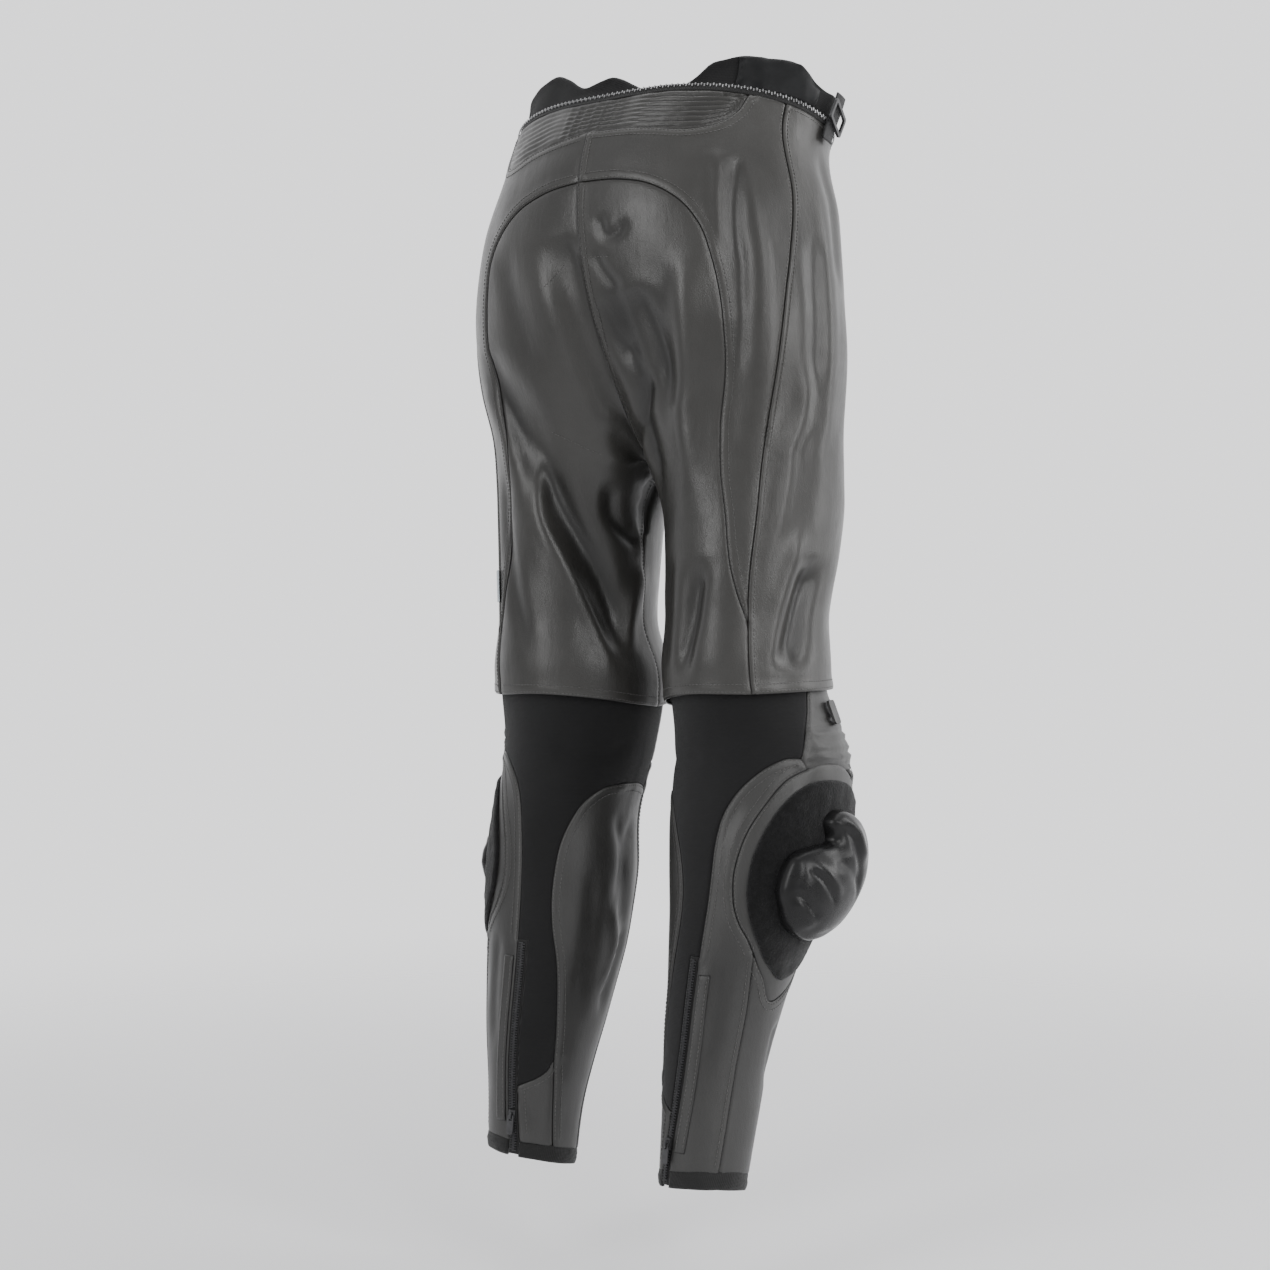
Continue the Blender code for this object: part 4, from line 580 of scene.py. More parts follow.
CREASE_LINES = []
for _s, _pts, _w, _h in CREASES:
    _h = _h * 1.25
    _f = flat(_s, np.array([p[0] for p in _pts]), np.array([p[1] for p in _pts]), 0.75)
    _t = np.concatenate([[0], np.cumsum(np.linalg.norm(np.diff(_f, axis=0), axis=1))])
    _q = np.linspace(0, _t[-1], 24)
    CREASE_LINES.append((_s, np.stack([smooth(_t, _f[:, 0], _q), smooth(_t, _f[:, 1], _q)], -1), _w, _h))


def creases(side, u, drop):
    """Height of the listed folds at points of the cloth."""
    out = np.zeros(len(u))
    halves = ((side, u),) if side != "RL" else (("R", u), ("L", 2.0 - u))
    for s, uu in halves:
        for shift in (0.0, 1.0, -1.0):
            f = flat(s, uu + shift, drop, 0.75)
            for cs, line, w, h in CREASE_LINES:
                if cs != s:
                    continue
                low, high = line.min(0) - 3 * w, line.max(0) + 3 * w
                near = np.where(((f > low) & (f < high)).all(1))[0]
                if len(near) == 0:
                    continue
                if shift and np.all(drop < CROTCH):
                    continue
                d, t = along(line, f[near])
                out[near] += h * np.exp(-(d / w)**2) * ease(0, 0.22, t) * (1 - ease(0.72, 1.0, t))
    v = np.where(u > 1.0, np.abs(2 * (2.0 - u) - 1), np.abs(2 * u - 1)) if side == "RL" else np.abs(2 * u - 1)
    return out * np.where(drop < CROTCH + 0.02, 1 - np.clip(v, 0, 1)**24, 1.0)


def ripple(p, amount, size, seed=0.0):
    """Soft uneven surface, the same on every run."""
    if amount == 0:
        return np.zeros(len(p))
    off = Vector((seed, seed * 0.7, -seed))
    return np.array([noise.noise(Vector(v) / size + off) for v in p]) * amount


class Cloth:
    """One piece of cloth as a fine sheet on the design surface."""

    def __init__(self, name, side, edges, part=None, step=FINE, rows=ROWS, lift=0.0, rim=0.00012):
        self.name, self.side, self.part, self.lift = name, side, part, lift
        loop, gaps, spans = [], [], []
        for key, pts, kind in edges:
            spans.append((key, kind, sum(len(x) for x in loop), len(pts) - 1))
            loop.append(pts[:-1])
            gaps += [0.0 if kind == "centre" else -0.0006 if kind == "under" else -0.0014 if kind == "lap" else rim] * (len(pts) - 1)
        self.spans = spans
        self.loop = shrink(side, np.vstack(loop), np.array(gaps), part)
        self.middle = (self.loop[:, 0].min() + self.loop[:, 0].max()) / 2
        f_loop = self.flat(self.loop)
        pts, uv = [f_loop], [self.loop]
        n = len(f_loop)
        links = [(i, (i + 1) % n) for i in range(n)]
        self.offsets = {}
        reach = 0.0
        for r in rows:
            row = shrink(side, self.loop, np.full(n, r), part)
            self.offsets[r] = row
            fr = self.flat(row)
            ok = inside(f_loop, fr) & (self.far(f_loop, fr) > r * 0.72)
            pts.append(fr[ok])
            uv.append(row[ok])
            reach = r
        low, high = f_loop.min(0), f_loop.max(0)
        rise = step * 0.866
        count = int((high[1] - low[1]) / rise) + 2
        us = self.loop[:, 0]
        grid = []
        for k in range(count):
            d = low[1] + rise * (k + 0.5)
            w = float(np.interp(d, *GIRTH[side]))
            m = int((us.max() - us.min()) * w / step) + 2
            u = us.min() + (np.arange(-1, m + 1) + (0.5 if k % 2 else 0.0)) * step / w
            grid.append(np.stack([(u - self.middle) * w, np.full(len(u), d), u], -1))
        grid = np.vstack(grid)
        ok = self.within(f_loop, grid[:, :2])
        grid = grid[ok]
        ok = self.far(f_loop, grid[:, :2]) > reach + step * 0.45
        grid = grid[ok]
        pts.append(grid[:, :2])
        uv.append(np.stack([grid[:, 2], grid[:, 1]], -1))
        pts, uv = np.vstack(pts), np.vstack(uv)
        res = delaunay_2d_cdt([Vector(p) for p in pts.tolist()], links, [], 0, 1e-7)
        out = np.array([tuple(v) for v in res[0]])
        pick = np.array([o[0] if len(o) else -1 for o in res[3]])
        got = pick >= 0
        uvo = np.zeros((len(out), 2))
        uvo[got] = uv[pick[got]]
        miss = ~got
        if miss.any():
            uvo[miss, 1] = out[miss, 1]
            uvo[miss, 0] = self.middle + out[miss, 0] / np.interp(out[miss, 1], *GIRTH[side])
        faces = np.array([f for f in res[2] if len(f) == 3])
        faces = faces[self.within(f_loop, out[faces].mean(1))]
        used = np.unique(faces)
        remap = -np.ones(len(out), int)
        remap[used] = np.arange(len(used))
        self.faces, self.uv, self.f = remap[faces], uvo[used], out[used]
        self.base = point(side, self.uv[:, 0], self.uv[:, 1], 0, part)
        _, _, self.normal, self.turned = slopes(side, self.uv[:, 0], self.uv[:, 1], part)
        if self.turned < 0:
            self.faces = self.faces[:, ::-1]
        self.height = np.zeros(len(self.uv))
        self.seam = np.zeros(len(self.uv))
        self.raised = np.zeros(len(self.uv))
        self.hollow = np.zeros(len(self.uv))
        self.middle_gap = np.full(len(self.uv), 1.0)
        for key, kind, start, size in spans:
            idx = [(start + i) % n for i in range(size + 1)]
            d = line_distance(f_loop[idx], self.f)
            if kind == "centre":
                kind = "under" if side == "L" else "top"
                self.middle_gap = np.minimum(self.middle_gap, d)
            self.height += PROFILES[kind](d * 1000.0) / 1000.0
            # painted shade: a narrow mask along the seam groove, for a dark line in the leather's colour
            if kind not in ("none",):
                self.seam = np.maximum(self.seam, np.exp(-(d / 0.00075)**2))
            if kind in ("top", "welt", "hem"):
                self.raised = np.maximum(self.raised, np.exp(-((d - 0.004) / 0.0030)**2))

    def flat(self, uv):
        return flat(self.side, uv[:, 0], uv[:, 1], self.middle)

    @staticmethod
    def within(poly, pts):
        out = np.zeros(len(pts), bool)
        for i in range(0, len(pts), 6000):
            out[i:i + 6000] = inside(poly, pts[i:i + 6000])
        return out

    @staticmethod
    def far(poly, pts):
        return line_distance(np.vstack([poly, poly[:1]]), pts)

    def fold(self, ripples=0.0006, size=0.045, seed=0.0):
        sunk = creases(self.side, self.uv[:, 0], self.uv[:, 1])
        self.height += sunk
        # painted shade: the colour darkens with the depth of the crease troughs
        self.hollow = np.clip(-sunk / 0.0060, 0, 1)
        self.height += ripple(self.base, ripples, size, seed)
        # the two halves stay together on the centre seams
        self.height *= 1 - np.exp(-(self.middle_gap / 0.0012)**2)
        self.ripples = (ripples, size, seed)
        return self

    def verts(self):
        return self.base + self.normal * (self.lift + self.height)[:, None]

    def object(self, material, wall, slot, node, held="hung", rests="waistband_inner", sheet=True, offset=-1.0):
        o = make_mesh(self.name, self.verts(), self.faces, material, wall, offset)
        mesh = o.data
        uvl = mesh.uv_layers.new(name="cut")
        idx = np.empty(len(mesh.loops), np.int64)
        mesh.loops.foreach_get("vertex_index", idx)
        uvl.data.foreach_set("uv", self.f[idx].astype(np.float32).ravel())
        # the seam and crease masks below carry painted shade into the leather's colour
        for key, values in (("seam", self.seam), ("raised", self.raised), ("hollow", self.hollow)):
            at = mesh.attributes.new(key, "FLOAT", "POINT")
            at.data.foreach_set("value", values.astype(np.float32))
        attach(o, BODY)
        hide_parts(node)
        if sheet:
            declare(o, self.flat(self.loop), held)
        self.shown = o
        return o

    def path(self, key, x):
        """Line on the cloth at x inside one of its edges."""
        n = len(self.loop)
        row = shrink(self.side, self.loop, np.full(n, x), self.part)
        for k, kind, start, size in self.spans:
            if k == key:
                return row[[(start + i) % n for i in range(1, size)]]
        raise KeyError(key)

    def at(self, uv):
        """Height of the finished cloth near points of (u, drop)."""
        f = self.flat(uv)
        out = np.empty(len(f))
        for i in range(0, len(f), 500):
            d = ((f[i:i + 500, None] - self.f)**2).sum(-1)
            k = np.argpartition(d, 3, axis=1)[:, :3]
            w = 1.0 / (np.take_along_axis(d, k, 1) + 1e-9)
            out[i:i + 500] = (self.height[k] * w).sum(1) / w.sum(1)
        return out + self.lift


SHEETS = []


def declare(o, f, held):
    """Says what the piece was cut to: its outline laid flat."""
    width, length = np.ptp(f[:, 0]), np.ptp(f[:, 1])
    area = abs(0.5 * np.sum(f[:, 0] * np.roll(f[:, 1], -1) - np.roll(f[:, 0], -1) * f[:, 1]))
    if area < 0.32 * width * length:
        # a curved strip: its own width and length
        width = area / (0.62 * length)
    width, length, area = round(float(width), 4), round(float(length), 4), round(float(area), 5)
    area = min(area, round(width * length, 5))
    width, length = max(width, 0.0101), max(length, 0.0101)
    SHEETS.append((o.name, width, length, area, held))


def make_mesh(name, verts, faces, material, wall=None, offset=-1.0):
    mesh = bpy.data.meshes.new(name)
    faces = np.asarray(faces)
    if faces.ndim == 2:
        mesh.vertices.add(len(verts))
        mesh.vertices.foreach_set("co", np.asarray(verts, np.float32).ravel())
        k = faces.shape[1]
        mesh.loops.add(faces.size)
        mesh.loops.foreach_set("vertex_index", faces.astype(np.int32).ravel())
        mesh.polygons.add(len(faces))
        mesh.polygons.foreach_set("loop_start", np.arange(0, faces.size, k, dtype=np.int32))
        mesh.polygons.foreach_set("loop_total", np.full(len(faces), k, np.int32))
        mesh.update(calc_edges=True)
    mesh.validate()
    mesh.polygons.foreach_set("use_smooth", np.ones(len(mesh.polygons), bool))
    mesh.materials.append(material)
    o = bpy.data.objects.new(name, mesh)
    bpy.context.scene.collection.objects.link(o)
    if wall:
        s = o.modifiers.new("wall", "SOLIDIFY")
        s.thickness = wall
        s.offset = offset
        s.use_rim = True
    return o


# --------------------------------------------------------------- materials
class Shader:
    """Small help for building node materials."""

    def __init__(self, name, colour, rough, metal=0.0, sheen=0.0, coat=0.0, specular=0.5):
        self.m = bpy.data.materials.new(name)
        self.m.use_nodes = True
        self.t = self.m.node_tree
        self.b = self.t.nodes["Principled BSDF"]
        self.b.inputs["Base Color"].default_value = (*colour, 1)
        self.b.inputs["Roughness"].default_value = rough
        self.b.inputs["Metallic"].default_value = metal
        self.b.inputs["Specular IOR Level"].default_value = specular
        if sheen:
            self.b.inputs["Sheen Weight"].default_value = sheen
            self.b.inputs["Sheen Roughness"].default_value = 0.5
        if coat:
            self.b.inputs["Coat Weight"].default_value = coat
            self.b.inputs["Coat Roughness"].default_value = 0.25
        self.m.diffuse_color = (*colour, 1)
        self.colour = colour
        self.last_bump = None
        self.coord = self.node("ShaderNodeTexCoord")

    def node(self, kind, **values):
        n = self.t.nodes.new(kind)
        for k, v in values.items():
            if hasattr(n, k):
                setattr(n, k, v)
            else:
                n.inputs[k.replace("_", " ")].default_value = v
        return n

    def link(self, a, b):
        self.t.links.new(a, b)

    def where(self, space, scale):
        """Coordinates: "Object" in metres, or "UV", the cut laid flat in metres."""
        m = self.node("ShaderNodeMapping")
        m.inputs["Scale"].default_value = scale
        self.link(self.coord.outputs[space], m.inputs["Vector"])
        return m.outputs["Vector"]

    def noise(self, scale, detail=3.0, rough=0.55, space="Object", stretch=(1, 1, 1)):
        n = self.node("ShaderNodeTexNoise")
        n.inputs["Scale"].default_value = scale
        n.inputs["Detail"].default_value = detail
        n.inputs["Roughness"].default_value = rough
        self.link(self.where(space, stretch), n.inputs["Vector"])
        return n.outputs["Fac"]

    def cells(self, scale, feature="F1", space="Object", stretch=(1, 1, 1)):
        n = self.node("ShaderNodeTexVoronoi")
        n.feature = feature
        n.inputs["Scale"].default_value = scale
        self.link(self.where(space, stretch), n.inputs["Vector"])
        return n.outputs["Distance"]

    def wave(self, scale, direction="X", space="UV", distortion=0.0, profile="SIN"):
        n = self.node("ShaderNodeTexWave")
        n.bands_direction = direction
        n.wave_profile = profile
        n.inputs["Scale"].default_value = scale
        n.inputs["Distortion"].default_value = distortion
        n.inputs["Detail"].default_value = 1.0
        self.link(self.where(space, (1, 1, 1)), n.inputs["Vector"])
        return n.outputs["Fac"]

    def bump(self, height, strength, distance):
        b = self.node("ShaderNodeBump")
        b.inputs["Strength"].default_value = strength
        b.inputs["Distance"].default_value = distance
        self.link(height, b.inputs["Height"])
        if self.last_bump:
            self.link(self.last_bump, b.inputs["Normal"])
        self.last_bump = b.outputs["Normal"]
        self.link(self.last_bump, self.b.inputs["Normal"])

    def ramp(self, value, stops):
        r = self.node("ShaderNodeValToRGB")
        e = r.color_ramp.elements
        e[0].position, e[0].color = stops[0][0], (*stops[0][1], 1)
        e[1].position, e[1].color = stops[-1][0], (*stops[-1][1], 1)
        for pos, col in stops[1:-1]:
            x = e.new(pos)
            x.color = (*col, 1)
        self.link(value, r.inputs["Fac"])
        return r.outputs["Color"]

    def paint(self, value, low, high, a=0.3, b=0.7):
        """Base colour from low to high times the main colour, driven by value."""
        c = self.ramp(value, ((a, tuple(x * low for x in self.colour)), (b, tuple(x * high for x in self.colour))))
        self.col = c
        self.link(c, self.b.inputs["Base Color"])
        return c

    def shade(self, attribute, strength, colour):
        """Mixes colour over the paint where a point attribute is high."""
        at = self.node("ShaderNodeAttribute")
        at.attribute_name = attribute
        k = self.node("ShaderNodeMath", operation="MULTIPLY")
        self.link(at.outputs["Fac"], k.inputs[0])
        k.inputs[1].default_value = strength
        mix = self.node("ShaderNodeMix")
        mix.data_type = "RGBA"
        self.link(k.outputs[0], mix.inputs[0])
        self.link(self.col, mix.inputs[6])
        mix.inputs[7].default_value = (*colour, 1)
        self.col = mix.outputs[2]
        self.link(self.col, self.b.inputs["Base Color"])

    def roughness(self, value, low, high, a=0.3, b=0.7):
        m = self.node("ShaderNodeMapRange")
        m.inputs["From Min"].default_value = a
        m.inputs["From Max"].default_value = b
        m.inputs["To Min"].default_value = low
        m.inputs["To Max"].default_value = high
        self.link(value, m.inputs["Value"])
        self.link(m.outputs["Result"], self.b.inputs["Roughness"])


def leather(name, colour, rough, grain=1.0, wrinkle=1.0):
    s = Shader(name, colour, rough, sheen=0.0, specular=0.5)
    s.paint(s.noise(7.0, 4.0, 0.6), 0.78, 1.24, 0.32, 0.68)
    s.shade("raised", 0.30, tuple(min(1, c * 1.5) for c in colour))
    # painted shade, darker in the crease and shirring troughs
    s.shade("hollow", 0.80, tuple(c * 0.30 for c in colour))
    # painted shade, a dark line in the seam grooves
    s.shade("seam", 0.70, tuple(c * 0.30 for c in colour))
    s.roughness(s.noise(24.0, 5.0, 0.65), rough - 0.05, rough + 0.07)
    s.bump(s.noise(28.0, 5.0, 0.55, stretch=(1.5, 1.5, 0.6)), 0.30 * wrinkle, 0.0030)
    s.bump(s.cells(950.0), 0.22 * grain, 0.00035)
    s.bump(s.noise(1900.0, 2.0, 0.6), 0.14 * grain, 0.00025)
    return s.m


def knit(name, colour, rough, sheen=0.25, course=0.0012, wale=0.0010):
    s = Shader(name, colour, rough, sheen=sheen, specular=0.25)
    s.paint(s.noise(16.0, 3.0), 0.85, 1.15)
    k = 2 * math.pi / 20.0
    s.bump(s.wave(k / wale, "X", "UV", 0.0), 0.55, 0.00035)
    s.bump(s.wave(k / course, "Y", "UV", 1.2), 0.40, 0.00025)
    s.bump(s.noise(60.0, 3.0, 0.5), 0.18, 0.0020)
    return s.m


def weave(name, colour, rough, pitch=0.0009, sheen=0.1):
    s = Shader(name, colour, rough, sheen=sheen, specular=0.3)
    s.paint(s.noise(40.0, 3.0), 0.8, 1.2)
    k = 2 * math.pi / 20.0
    s.bump(s.wave(k / pitch, "DIAGONAL", "UV", 0.0), 0.6, 0.0003)
    s.bump(s.wave(k / pitch, "Y", "UV", 0.0), 0.4, 0.0003)
    return s.m


MAT_LEATHER = leather("thigh_leather", (0.027, 0.0262, 0.0243), 0.36)
MAT_SHIN = leather("lower_leather", (0.022, 0.0217, 0.0207), 0.42, 1.1, 0.8)
MAT_STRETCH = knit("stretch_knit", (0.0060, 0.0060, 0.0063), 0.88, 0.10)
MAT_BAND = knit("waistband_knit", (0.0050, 0.0050, 0.0053), 0.88, 0.05, 0.0016, 0.0013)
MAT_CUFF = knit("cuff_rib", (0.010, 0.010, 0.0098), 0.78, 0.12, 0.0030, 0.0016)
MAT_TAPE = weave("zip_tape", (0.008, 0.008, 0.008), 0.75)
MAT_WEB = weave("webbing", (0.012, 0.012, 0.013), 0.7, 0.0016)
MAT_LABEL = weave("label_cloth", (0.55, 0.60, 0.64), 0.6, 0.0005)


def satin():
    s = Shader("satin", (0.0040, 0.0043, 0.0048), 0.46, specular=0.16)
    s.paint(s.noise(20.0, 3.0), 0.85, 1.15)
    k = 2 * math.pi / 20.0
    s.bump(s.wave(k / 0.0006, "Y", "UV", 0.0), 0.25, 0.0002)
    s.bump(s.noise(45.0, 3.0, 0.5), 0.25, 0.0020)
    return s.m


def loop_pile():
    s = Shader("loop_pile", (0.0045, 0.0045, 0.0047), 0.95, sheen=0.18, specular=0.1)
    s.paint(s.noise(220.0, 4.0, 0.7), 0.5, 1.8)
    s.bump(s.noise(700.0, 4.0, 0.7), 0.9, 0.0012)
    s.bump(s.noise(60.0, 3.0, 0.6), 0.5, 0.0025)
    return s.m


def pad_plastic():
    s = Shader("pad_plastic", (0.007, 0.007, 0.0072), 0.30, coat=0.05, specular=0.26)
    s.paint(s.noise(30.0, 6.0, 0.7), 0.75, 1.35)
    s.roughness(s.noise(55.0, 6.0, 0.7), 0.22, 0.42, 0.35, 0.65)
    s.bump(s.noise(26.0, 3.0, 0.5), 0.25, 0.0020)
    s.bump(s.noise(900.0, 2.0, 0.5), 0.06, 0.0002)
    return s.m


def thread(name, colour):
    s = Shader(name, colour, 0.55, sheen=0.2, specular=0.4)
    s.paint(s.noise(300.0, 2.0), 0.8, 1.25)
    s.bump(s.wave(2600.0, "DIAGONAL", "Object", 0.0), 0.4, 0.0001)
    return s.m


def metal(name, colour, rough, metallic=0.85):
    s = Shader(name, colour, rough, metal=metallic)
    s.paint(s.noise(200.0, 4.0), 0.8, 1.25)
    s.roughness(s.noise(400.0, 4.0), rough - 0.06, rough + 0.1)
    s.bump(s.noise(700.0, 3.0), 0.12, 0.0002)
    return s.m


MAT_SATIN, MAT_LOOP, MAT_PAD = satin(), loop_pile(), pad_plastic()
MAT_THREAD = thread("thread", (0.050, 0.049, 0.046))
MAT_DARK_METAL = metal("dark_metal", (0.05, 0.05, 0.052), 0.36, 0.6)
MAT_TEETH = metal("zip_teeth", (0.34, 0.34, 0.345), 0.36, 0.9)
MAT_BLACK_TEETH = metal("black_teeth", (0.030, 0.030, 0.032), 0.38, 0.3)

# ------------------------------------------------------------------ stitches
STITCH = {"R": [], "L": []}


def bead_template(sides=5):
    ring = [(math.cos(2 * math.pi * k / sides), math.sin(2 * math.pi * k / sides)) for k in range(sides)]
    verts, faces = [(-0.5, 0, 0)], []
    for x, r in ((-0.34, 0.8), (0.0, 1.0), (0.34, 0.8)):
        verts += [(x, r * a, r * b) for a, b in ring]
    verts.append((0.5, 0, 0))
    last = len(verts) - 1
    for k in range(sides):
        j = (k + 1) % sides
        faces.append((0, 1 + j, 1 + k))
        for q in range(2):
            a, b = 1 + q * sides, 1 + (q + 1) * sides
            faces += [(a + k, a + j, b + j), (a + k, b + j, b + k)]
        faces.append((last, 1 + 2 * sides + k, 1 + 2 * sides + j))
    return np.array(verts, float), np.array(faces)


BEAD_V, BEAD_F = bead_template()


def beads(centres, ahead, out, length, radius):
    """A row of small round-ended stitches."""
    ahead = ahead / (np.linalg.norm(ahead, axis=1, keepdims=True) + 1e-12)
    out = out - ahead * (out * ahead).sum(1, keepdims=True)
    out /= np.linalg.norm(out, axis=1, keepdims=True) + 1e-12
    side = np.cross(out, ahead)
    v = (centres[:, None] + BEAD_V[None, :, :1] * length * ahead[:, None]
         + BEAD_V[None, :, 1:2] * radius * side[:, None] + BEAD_V[None, :, 2:3] * radius * 0.8 * out[:, None])
    f = BEAD_F[None] + (np.arange(len(centres)) * len(BEAD_V))[:, None, None]
    return v.reshape(-1, 3), f.reshape(-1, 3)


def stitch(cloth, key, x, pitch=0.0036, radius=0.00042, store=None):
    """Sews a row x inside one edge of a piece."""
    sew(cloth, cloth.path(key, x), pitch, radius, store)


def sew(cloth, uv, pitch=0.0036, radius=0.00042, store=None):
    """Sews a row along a line of (u, drop)."""
    if len(uv) < 4:
        return
    h = cloth.at(uv)
    p = point(cloth.side, uv[:, 0], uv[:, 1], 0, cloth.part)
    _, _, nrm, _ = slopes(cloth.side, uv[:, 0], uv[:, 1], cloth.part)
    p = p + nrm * (h + 0.00012)[:, None]
    run = np.concatenate([[0], np.cumsum(np.linalg.norm(np.diff(p, axis=0), axis=1))])
    at = np.arange(pitch * 0.6, run[-1] - pitch * 0.5, pitch * (1.0))
    if len(at) < 2:
        return
    c = np.stack([np.interp(at, run, p[:, i]) for i in range(3)], -1)
    e = np.stack([np.interp(at + 0.0006, run, p[:, i]) for i in range(3)], -1)
    s = np.stack([np.interp(at - 0.0006, run, p[:, i]) for i in range(3)], -1)
    n = np.stack([np.interp(at, run, nrm[:, i]) for i in range(3)], -1)
    (STITCH[cloth.side[0]] if store is None else store).append(beads(c, e - s, n, pitch * 0.80, radius))


def back(pts):
    return pts[::-1]


def moved(pts, du):
    q = pts.copy()
    q[:, 0] += du
    return q


def piece_name(node):
    return node + "_shell"


PIECES = {}


def build_leg(side):
    line = {}
    seam_step = FINE * 0.9

    def make(key, rows, part=None):
        line[key] = trace(side, rows, seam_step, part)

    make("w_front", waist_rows(side, 0.0, SIDE_TOP_U, 9))
    make("w_back", waist_rows(side, SIDE_TOP_U, SHIRR_END_U, 3))
    make("w_shirr", waist_rows(side, SHIRR_END_U, 1.0, 13))
    make("side_high", ((SIDE_TOP_U, float(waist_drop(side, SIDE_TOP_U))),) + SIDE_SEAM + (SIDE_JOIN,))
    make("side_low", (SIDE_JOIN, SIDE_HEM))
    make("arc", SEAT_ARC)
    make("shirr", ((SHIRR_END_U, float(waist_drop(side, SHIRR_END_U))),) + SHIRR_LOW)
    make("cb_high", ((1.0, 0.052), (1.0, 0.100)))
    make("cb_low", ((1.0, 0.100), (1.0, CROTCH)))
    make("inseam", ((1.0, CROTCH), (1.0, 0.5610)))
    make("cf", ((0.0, float(waist_drop(side, 0.0))), (0.0, CROTCH)))
    make("hem_back", HEM_BACK)
    make("hem_front", HEM_FRONT)
    for key, rows in {
            "stretch_front": STRETCH_FRONT, "stretch_top": STRETCH_TOP, "knee_top": KNEE_TOP,
            "frame_top": FRAME_TOP, "frame_rear": FRAME_REAR,
             "frame_front": (A3,) + knee_round(side, FRAME_FRONT[1:-1]) + (A1,),
            "knee_low": KNEE_LOW, "knee_out": KNEE_OUT, "calf_arc": CALF_ARC, "zip_top": ZIP_TOP,
            "zip_out": ZIP_OUT, "zip_in_high": ZIP_IN_HIGH, "zip_in_low": ZIP_IN_LOW,
            "patch_top": PATCH_TOP, "inner_top": INNER_TOP, "inner_rear": INNER_REAR,
            "inner_low": INNER_LOW, "dart": DART, "front_high": FRONT_HIGH, "front_mid": FRONT_MID,
            "front_low": FRONT_LOW, "cuff_front": CUFF_FRONT, "cuff_out": CUFF_OUT,
            "cuff_rear": CUFF_REAR, "cuff_in": CUFF_IN}.items():
        make(key, rows)
    th = "thigh"
    seed = 3.0 if side == "L" else 11.0

    def cloth(node, edges, part=None, ripples=0.0006, **kw):
        c = Cloth(piece_name(node + "_" + side), side, edges, part, **kw)
        c.fold(ripples, 0.05, seed)
        PIECES[node + "_" + side] = c
        return c

    c = cloth("front", [("waist", line["w_front"], "plain"), ("side_high", line["side_high"], "welt"),
                        ("side_low", line["side_low"], "welt"), ("hem", line["hem_front"], "hem"),
                        ("inseam", back(moved(line["inseam"], -1.0)), "under"), ("cf", back(line["cf"]), "centre")],
              th, 0.0010)
    c.object(MAT_LEATHER, LEATHER, "leather", "front_" + side)
    for x in (0.0024, 0.0088):
        stitch(c, "hem", x)
    stitch(c, "side_high", 0.0052)
    stitch(c, "side_low", 0.0052)
    stitch(c, "waist", 0.0035)
    c = cloth("back_outer", [("waist", line["w_back"], "plain"), ("shirr", line["shirr"], "top"),
                             ("cb_high", line["cb_high"], "centre"), ("arc", line["arc"], "top"),
                             ("side_high", back(line["side_high"]), "under")], th, 0.0008)
    c.object(MAT_LEATHER, LEATHER, "leather", "back_outer_" + side)
    for x in (0.0019, 0.0076):
        stitch(c, "arc", x)
        stitch(c, "shirr", x)
        if side == "R":
            stitch(c, "cb_high", x)
    stitch(c, "side_high", 0.0024)
    c = cloth("seat", [("cb_low", line["cb_low"], "centre"), ("inseam", line["inseam"], "top"),
                       ("hem", line["hem_back"], "hem"), ("side_low", back(line["side_low"]), "under"),
                       ("arc", back(line["arc"]), "under")], th, 0.0010)
    c.object(MAT_LEATHER, LEATHER, "leather", "seat_" + side)
    for x in (0.0024, 0.0088):
        stitch(c, "hem", x)
    for x in (0.0019, 0.0076):
        if side == "R":
            stitch(c, "cb_low", x)
    for s, pts in SEWN:
        if s == side:
            pts = np.array(pts)
            q = np.linspace(0, 1, 24)[:, None]
            sew(c, pts[0] + (pts[1] - pts[0]) * q)
    stitch(c, "inseam", 0.0019)
    c = cloth("stretch_calf", [("top", line["stretch_top"], "plain"), ("front_high", moved(line["front_high"], 1.0), "plain"),
                               ("front_mid", moved(line["front_mid"], 1.0), "plain"), ("inner_top", line["inner_top"], "under"),
                               ("inner_rear", line["inner_rear"], "under"), ("patch_top", back(line["patch_top"]), "under"),
                               ("zip_in", back(line["zip_in_high"]), "plain"), ("zip_top", back(line["zip_top"]), "plain"),
                               ("calf_arc", back(line["calf_arc"]), "under"),
                               ("stretch_front", back(line["stretch_front"]), "under")], None, 0.0006)
    c.object(MAT_STRETCH, STRETCH, "stretch", "stretch_calf_" + side, "stretched", "seat_" + side)
    c = cloth("knee_accordion", [("top", line["knee_top"], "plain"), ("stretch_front", line["stretch_front"], "top"),
                                 ("knee_out", back(line["knee_out"]), "under"), ("frame_top", line["frame_top"], "under"),
                                 ("knee_low", line["knee_low"], "under"), ("front_high", back(line["front_high"]), "top")],
              None, 0.0006)
